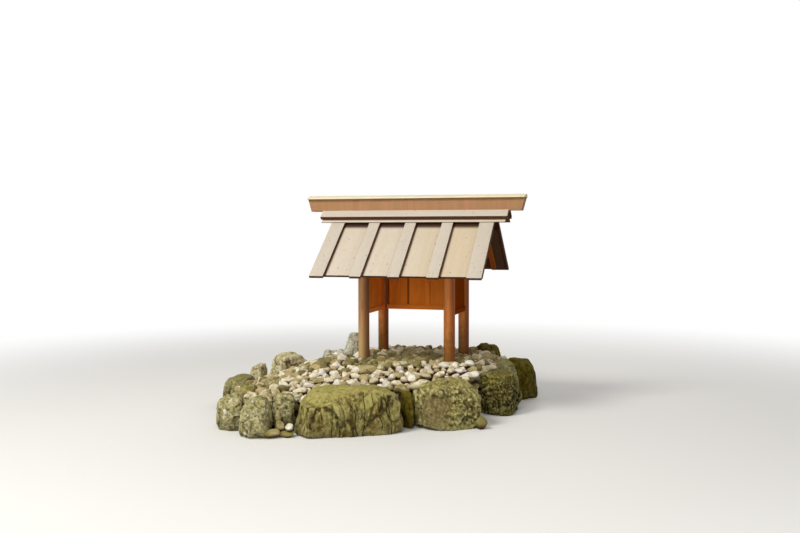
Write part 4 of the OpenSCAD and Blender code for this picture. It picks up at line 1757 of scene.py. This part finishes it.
@dataclass(frozen=True)
class CobbleBed:
    """The bed's soil, the cobbles on it and the rubble between the boulders.

    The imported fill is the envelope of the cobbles, so their tops lie at its surface and
    the soil between them lies soil_depth under it. Sizes are in metres.
    """

    seed: int = 4071
    largest: float = 0.054
    smallest: float = 0.016
    soil_depth: float = 0.04
    soil_grid: tuple[int, int] = (110, 220)
    tries: int = 36000
    overlap: float = 0.8
    rubble_tries: int = 6000
    rubble_overlap: float = 0.72
    rubble_radius: Span = (0.028, 0.07)
    loose: tuple[LooseStone, ...] = (
        LooseStone((0.79, -0.92, 0.0), (0.10, 0.10, 0.10), 40, 0.98, 0.9),
        LooseStone((-0.70, -1.66, 0.0), (0.12, 0.10, 0.08), 10, 0.75, 0.8),
        LooseStone((-0.58, -1.61, 0.0), (0.12, 0.08, 0.045), 10, 0.9, 0.9),
        LooseStone((-0.58, -1.59, 0.04), (0.07, 0.06, 0.06), 60, 0.25, 0.2),
        LooseStone((-0.65, -1.59, 0.03), (0.08, 0.06, 0.09), 30, 0.8, 0.8),
        LooseStone((-0.695, -1.55, 0.08), (0.05, 0.05, 0.11), 20, 0.66, 0.8),
        LooseStone((0.27, -0.86, None), (0.19, 0.11, 0.09), 30, 0.5, 0.3),
        LooseStone((0.15, -0.98, None), (0.12, 0.09, 0.08), 10, 0.8, 0.7),
        LooseStone((-1.18, -1.06, 0.17), (0.18, 0.15, 0.13), 15, 0.85, 1.0),
        LooseStone((-0.92, -1.32, 0.22), (0.10, 0.08, 0.08), 10, 0.5, 0.5),
        LooseStone((-0.86, -1.33, 0.20), (0.06, 0.07, 0.08), 50, 0.6, 0.7),
        LooseStone((-0.80, -1.35, 0.21), (0.08, 0.08, 0.11), 80, 0.55, 0.6),
        LooseStone((-0.24, -0.72, None), (0.17, 0.13, 0.10), 20, 0.75, 0.2),
        LooseStone((-0.47, -0.20, None), (0.16, 0.13, 0.11), 20, 0.1, 0.0),
        LooseStone((-0.56, -0.36, None), (0.14, 0.11, 0.09), 70, 0.15, 0.1),
        LooseStone((-0.66, -0.22, None), (0.13, 0.10, 0.10), 50, 0.1, 0.1),
    )

    @property
    def fill(self) -> ConvexSolid:
        """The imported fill's solid."""
        return ConvexSolid.of("bed_fill")

    @property
    def stones(self) -> list[ConvexSolid]:
        """The boulders' solids, which no cobble may enter."""
        return [ConvexSolid.of(s.node) for s in Boulders().stones]

    def build(self) -> None:
        """Lays the soil, the cobbles, the rubble and the loose stones."""
        finish_piece(self.soil(), "bed_soil", ["bed_fill"], DampSoil().material(), None)
        finish = WornCobble("tumbled_beach_cobble").material()
        for name, surface in (
            ("bed_cobbles", self.cobbles(np.random.default_rng(self.seed))),
            ("bed_rubble", self.rubble(np.random.default_rng(self.seed + 2))),
            ("bed_loose_stones", self.loose_stones()),
        ):
            finish_piece(surface, name, [], finish, 30.0)

    def soil(self) -> Surface:
        """Builds the soil as the fill's solid with every side but the ground moved in.

        A flattened ball of directions is pushed out to the moved planes and made lumpy
        by layered noise.

        Returns:
            The closed surface.
        """
        directions, quads, caps = sphere_grid(*self.soil_grid)
        directions = unit(directions * [1.0, 1.0, 0.3])
        inner = self.fill.shrunk(self.soil_depth)
        points = directions * inner.reach(directions)[:, None]
        points += directions * 0.008 * layered_noise(points / 0.05, self.seed, 3)[:, None]
        points += inner.centre
        points[:, 2] = np.maximum(points[:, 2], 0.0)
        return Surface(points, quads, caps)

    def cobbles(self, rng: np.random.Generator) -> Surface:
        """Lays cobbles in the top of the fill, bedded in the soil by about a third.

        Those under the roof are darker, partly with soil that rain leaves there and partly as
        painted shade; those in front are paler, those by the front right post are paler as a
        painted pool of sunlight, and moss grows towards the front left corner.

        Args:
            rng: The source of the random numbers.

        Returns:
            The joined cobbles.
        """
        places, radii = self.scatter(rng)
        LOG.info("cobbles: %d", len(places))
        sizes = radii[:, None] * rng.uniform([0.95, 0.75, 0.6], [1.3, 1.05, 1.0], (len(radii), 3))
        # Under the roof the stones are darker, partly soil and partly painted shade.
        under_roof = np.exp(-np.square((places - [0.0, -0.18]) / [0.5, 0.4]).sum(1))
        washed = np.clip(-0.6 - places[:, 1], 0.0, 0.4)
        # By the front right post the stones are paler: a painted pool of sunlight.
        sunlit = np.exp(-np.square((places - [0.52, -0.52]) / [0.3, 0.25]).sum(1))
        grown = np.clip((-0.55 - places[:, 0]) / 0.4, 0.0, 1.0) * np.clip(-2 * places[:, 1] - 0.6, 0, 1)
        tints = rng.uniform(0, 0.98, len(radii)) + 0.75 * under_roof + 0.4 * grown
        tints -= 0.5 * washed + 0.5 * sunlit
        tints = np.clip(tints, 0, 1)
        moss = np.clip(rng.normal(0.05, 0.3, len(radii)) + 0.3 * grown, 0, 0.9)
        top = self.fill.top(places)
        bedded = top - self.soil_depth + sizes[:, 2] * rng.uniform(0.3, 0.7, len(radii))
        heights = np.minimum(bedded, top + 0.012 - sizes[:, 2])
        return StoneField(self.seed).surface(np.c_[places, heights], sizes, tints, moss)

    def scatter(self, rng: np.random.Generator) -> tuple[Array, Array]:
        """Chooses where the cobbles lie, large ones first.

        A place is kept if its stone overlaps those before it by no more than a little,
        and is clear of the posts and the boulders.

        Args:
            rng: The source of the random numbers.

        Returns:
            The places in plan, and the stones' radii.
        """
        fill = self.fill
        low, high = (corner[:2] for corner in node_box("bed_fill"))
        spread = rng.beta(1.0, 2.4, self.tries)
        radii = np.sort(self.smallest + (self.largest - self.smallest) * spread)[::-1]
        spots = rng.uniform(low, high, (self.tries, 2))
        level = np.c_[spots, fill.top(spots)]
        free = fill.depth(level - [0, 0, 0.1]) > 0.3 * radii
        for stone in self.stones:
            free &= stone.depth(level - [0, 0, 0.02]) < -0.2 * radii
        for post in Posts().nodes:
            west, east = node_box(post)
            gap = np.linalg.norm(spots - (west + east)[:2] / 2, axis=1)
            free &= gap > (east - west)[0] / 2 + 0.75 * radii
        kept = self.spaced(spots[free], radii[free], self.overlap)
        return kept[:, :2], kept[:, 2]

    @staticmethod
    def spaced(spots: Array, radii: Array, overlap: float) -> Array:
        """Keeps each stone that lies clear of those kept before it.

        Args:
            spots: Their centres, one row each.
            radii: Their radii, largest first.
            overlap: How near two may lie, as a share of their radii's sum.

        Returns:
            The kept stones' centres and radii, one row each.
        """
        kept = np.zeros((0, spots.shape[1] + 1))
        for spot, radius in zip(spots, radii):
            gaps = np.linalg.norm(kept[:, :-1] - spot, axis=1)
            if np.all(gaps > overlap * (kept[:, -1] + radius)):
                kept = np.vstack([kept, [*spot, radius]])
        return kept

    def rubble(self, rng: np.random.Generator) -> Surface:
        """Packs stones into the fill's sides wherever no boulder stands.

        Args:
            rng: The source of the random numbers.

        Returns:
            The joined stones.
        """
        fill = self.fill
        upright = np.abs(fill.normals[:, 2]) < 0.05
        normals, offsets = fill.normals[upright], fill.offsets[upright]
        (low, high), tries = node_box("bed_fill"), self.rubble_tries
        spots = rng.uniform([*low[:2], 0.02], [*high[:2], high[2]], (tries, 3))
        gaps = offsets - spots @ normals.T
        nearest = np.argmin(gaps, axis=1)
        radii = np.sort(rng.uniform(*self.rubble_radius, tries))[::-1]
        spots = spots + normals[nearest] * (gaps.min(1) - 0.7 * radii)[:, None]
        free = spots[:, 2] < fill.top(spots) - 0.7 * radii
        free &= fill.depth(spots) > 0.5 * radii
        for stone in self.stones:
            free &= stone.depth(spots + normals[nearest] * radii[:, None]) < 0.03
        kept = self.spaced(spots[free], radii[free], self.rubble_overlap)
        LOG.info("rubble: %d", len(kept))
        sizes = kept[:, 3:] * rng.uniform([0.9, 0.8, 0.7], [1.3, 1.1, 1.0], (len(kept), 3))
        tints = rng.uniform(0.3, 0.95, len(kept))
        moss = rng.uniform(0.1, 0.9, len(kept))
        return StoneField(self.seed + 3).surface(kept[:, :3], sizes, tints, moss)

    def loose_stones(self) -> Surface:
        """Builds the stones that the photograph shows by themselves, in finer grids.

        A stone on the bed is sunk in it by six tenths of its height.

        Returns:
            The joined stones.
        """
        half = np.array([s.size for s in self.loose]) / 2
        feet = np.array([[s.foot[0], s.foot[1], s.foot[2] or 0.0] for s in self.loose])
        on_bed = self.fill.top(feet) - 0.6 * 2 * half[:, 2]
        fixed = np.array([s.foot[2] is not None for s in self.loose])
        feet[:, 2] = np.where(fixed, feet[:, 2], on_bed)
        centres = feet + half * [0, 0, 0.92]
        turns, tints, moss = np.array([(s.turn_deg, s.tint, s.moss) for s in self.loose]).T
        stones = StoneField(self.seed + 5, rings=14, steps=24, breaks=6)
        return stones.surface(centres, half, tints, moss, np.radians(turns))


# Studio


@dataclass(frozen=True)
class Camera:
    """The photograph's camera, fitted to the edges of posts and roof."""

    place: Point = (2.184, -8.085, 1.602)
    turn_deg: float = 16.04
    tilt_deg: float = -2.34
    roll_deg: float = 0.1
    lens_mm: float = 41.1
    sensor_mm: float = 36.0

    def build(self) -> None:
        """Adds the camera and makes it the scene's own."""
        data = bpy.data.cameras.new("camera")
        data.lens, data.sensor_width = self.lens_mm, self.sensor_mm
        camera = bpy.data.objects.new("camera", data)
        camera.location = self.place
        angles = (90 + self.tilt_deg, self.roll_deg, self.turn_deg)
        camera.rotation_euler = [math.radians(a) for a in angles]
        bpy.context.scene.collection.objects.link(camera)
        bpy.context.scene.camera = camera


@dataclass(frozen=True)
class Lamp:
    """A square area lamp: its place and side in metres, its power in watts and its colour."""

    name: str
    place: Point
    side: float
    watts: float
    colour: str = "#FFFFFF"

    def hang(self, target: Point) -> None:
        """Adds the lamp, turned to face a point.

        Args:
            target: The point, in metres.
        """
        data = bpy.data.lights.new(self.name, "AREA")
        data.shape, data.size, data.energy = "SQUARE", self.side, self.watts
        data.color = linear(self.colour)[:3]
        lamp = bpy.data.objects.new(self.name, data)
        lamp.location = self.place
        lamp.rotation_euler = (Vector(target) - lamp.location).to_track_quat("-Z", "Y").to_euler()
        bpy.context.scene.collection.objects.link(lamp)


@dataclass(frozen=True)
class Studio:
    """A pale floor, a white surround and soft lamps that face one point, in metres."""

    centre: Point = (-0.2, -0.2, 0.9)
    floor_half: float = 30.0
    white_from: Span = (3.0, 8.0)
    ambient: float = 0.26
    lamps: tuple[Lamp, ...] = (
        Lamp("key", (-5.0, -7.0, 10.0), 3.6, 800, "#FFFEFA"),
        Lamp("front", (1.5, -9.0, 8.0), 3.6, 300, "#FFFEFA"),
        Lamp("fill", (-3.2, -8.0, 1.3), 3.0, 100, "#FFFCF6"),
        Lamp("inner", (4.2, -7.5, 1.1), 2.4, 55, "#FFFCF6"),
        Lamp("back", (1.0, 6.0, 5.0), 4.0, 110),
    )

    def build(self) -> None:
        """Adds the floor, the lamps and the world."""
        self.floor()
        for lamp in self.lamps:
            lamp.hang(self.centre)
        self.world()
        bpy.context.scene.view_settings.view_transform = "Standard"

    def floor(self) -> None:
        """Lays a wide pale floor under the bed, which fades to white far out for the camera."""
        corners = np.c_[rectangle(2 * self.floor_half, 2 * self.floor_half), np.zeros(4)]
        floor = Surface(corners, np.array([[0, 1, 2, 3]])).make_object("floor", False)
        p = Pattern("pale_matt_floor")
        shader = p.add("BsdfPrincipled", {"Base Color": "#F0EEEA", "Roughness": 0.9})
        from_centre = p.add("VectorMath", {0: p.place}, "Value", operation="LENGTH")
        far = p.add("MapRange", rise(from_centre, *self.white_from), **SMOOTH)
        seen = p.add("LightPath", output="Is Camera Ray")
        share = p.add("Math", {0: far, 1: seen}, operation="MULTIPLY")
        white = p.add("Emission", {"Color": "#FFFFFF", "Strength": 1.0})
        surface = p.add("MixShader", {0: share, 1: shader, 2: white})
        p.add("OutputMaterial", {"Surface": surface})
        floor.data.materials.append(p.material)

    def world(self) -> None:
        """Lights softly from all round, and shows white behind the object."""
        world = bpy.data.worlds.new("surround")
        world.use_nodes = True
        bpy.context.scene.world = world
        tree = world.node_tree
        tree.nodes.clear()
        rays = tree.nodes.new("ShaderNodeLightPath").outputs
        seen = rays["Is Camera Ray"]
        for ray in ("Is Glossy Ray", "Is Transmission Ray"):
            seen = add_node(tree, "Math", {0: seen, 1: rays[ray]}, operation="MAXIMUM")
        strength = add_node(tree, "MapRange", {"Value": seen, "To Min": self.ambient, "To Max": 1.0})
        light = add_node(tree, "Background", {"Color": "#FFFFFF", "Strength": strength})
        add_node(tree, "OutputWorld", {"Surface": light})


def main() -> None:
    """Builds the studio and every part of the shelter."""
    Camera().build()
    Studio().build()
    for part in (Posts(), FrameTimbers(), Walls(), Roof(), Ridge(), Boulders(), CobbleBed()):
        LOG.info("building %s", type(part).__name__)
        part.build()


if __name__ == "__main__":
    logging.basicConfig(level=logging.INFO, format="%(name)s %(message)s")
    main()
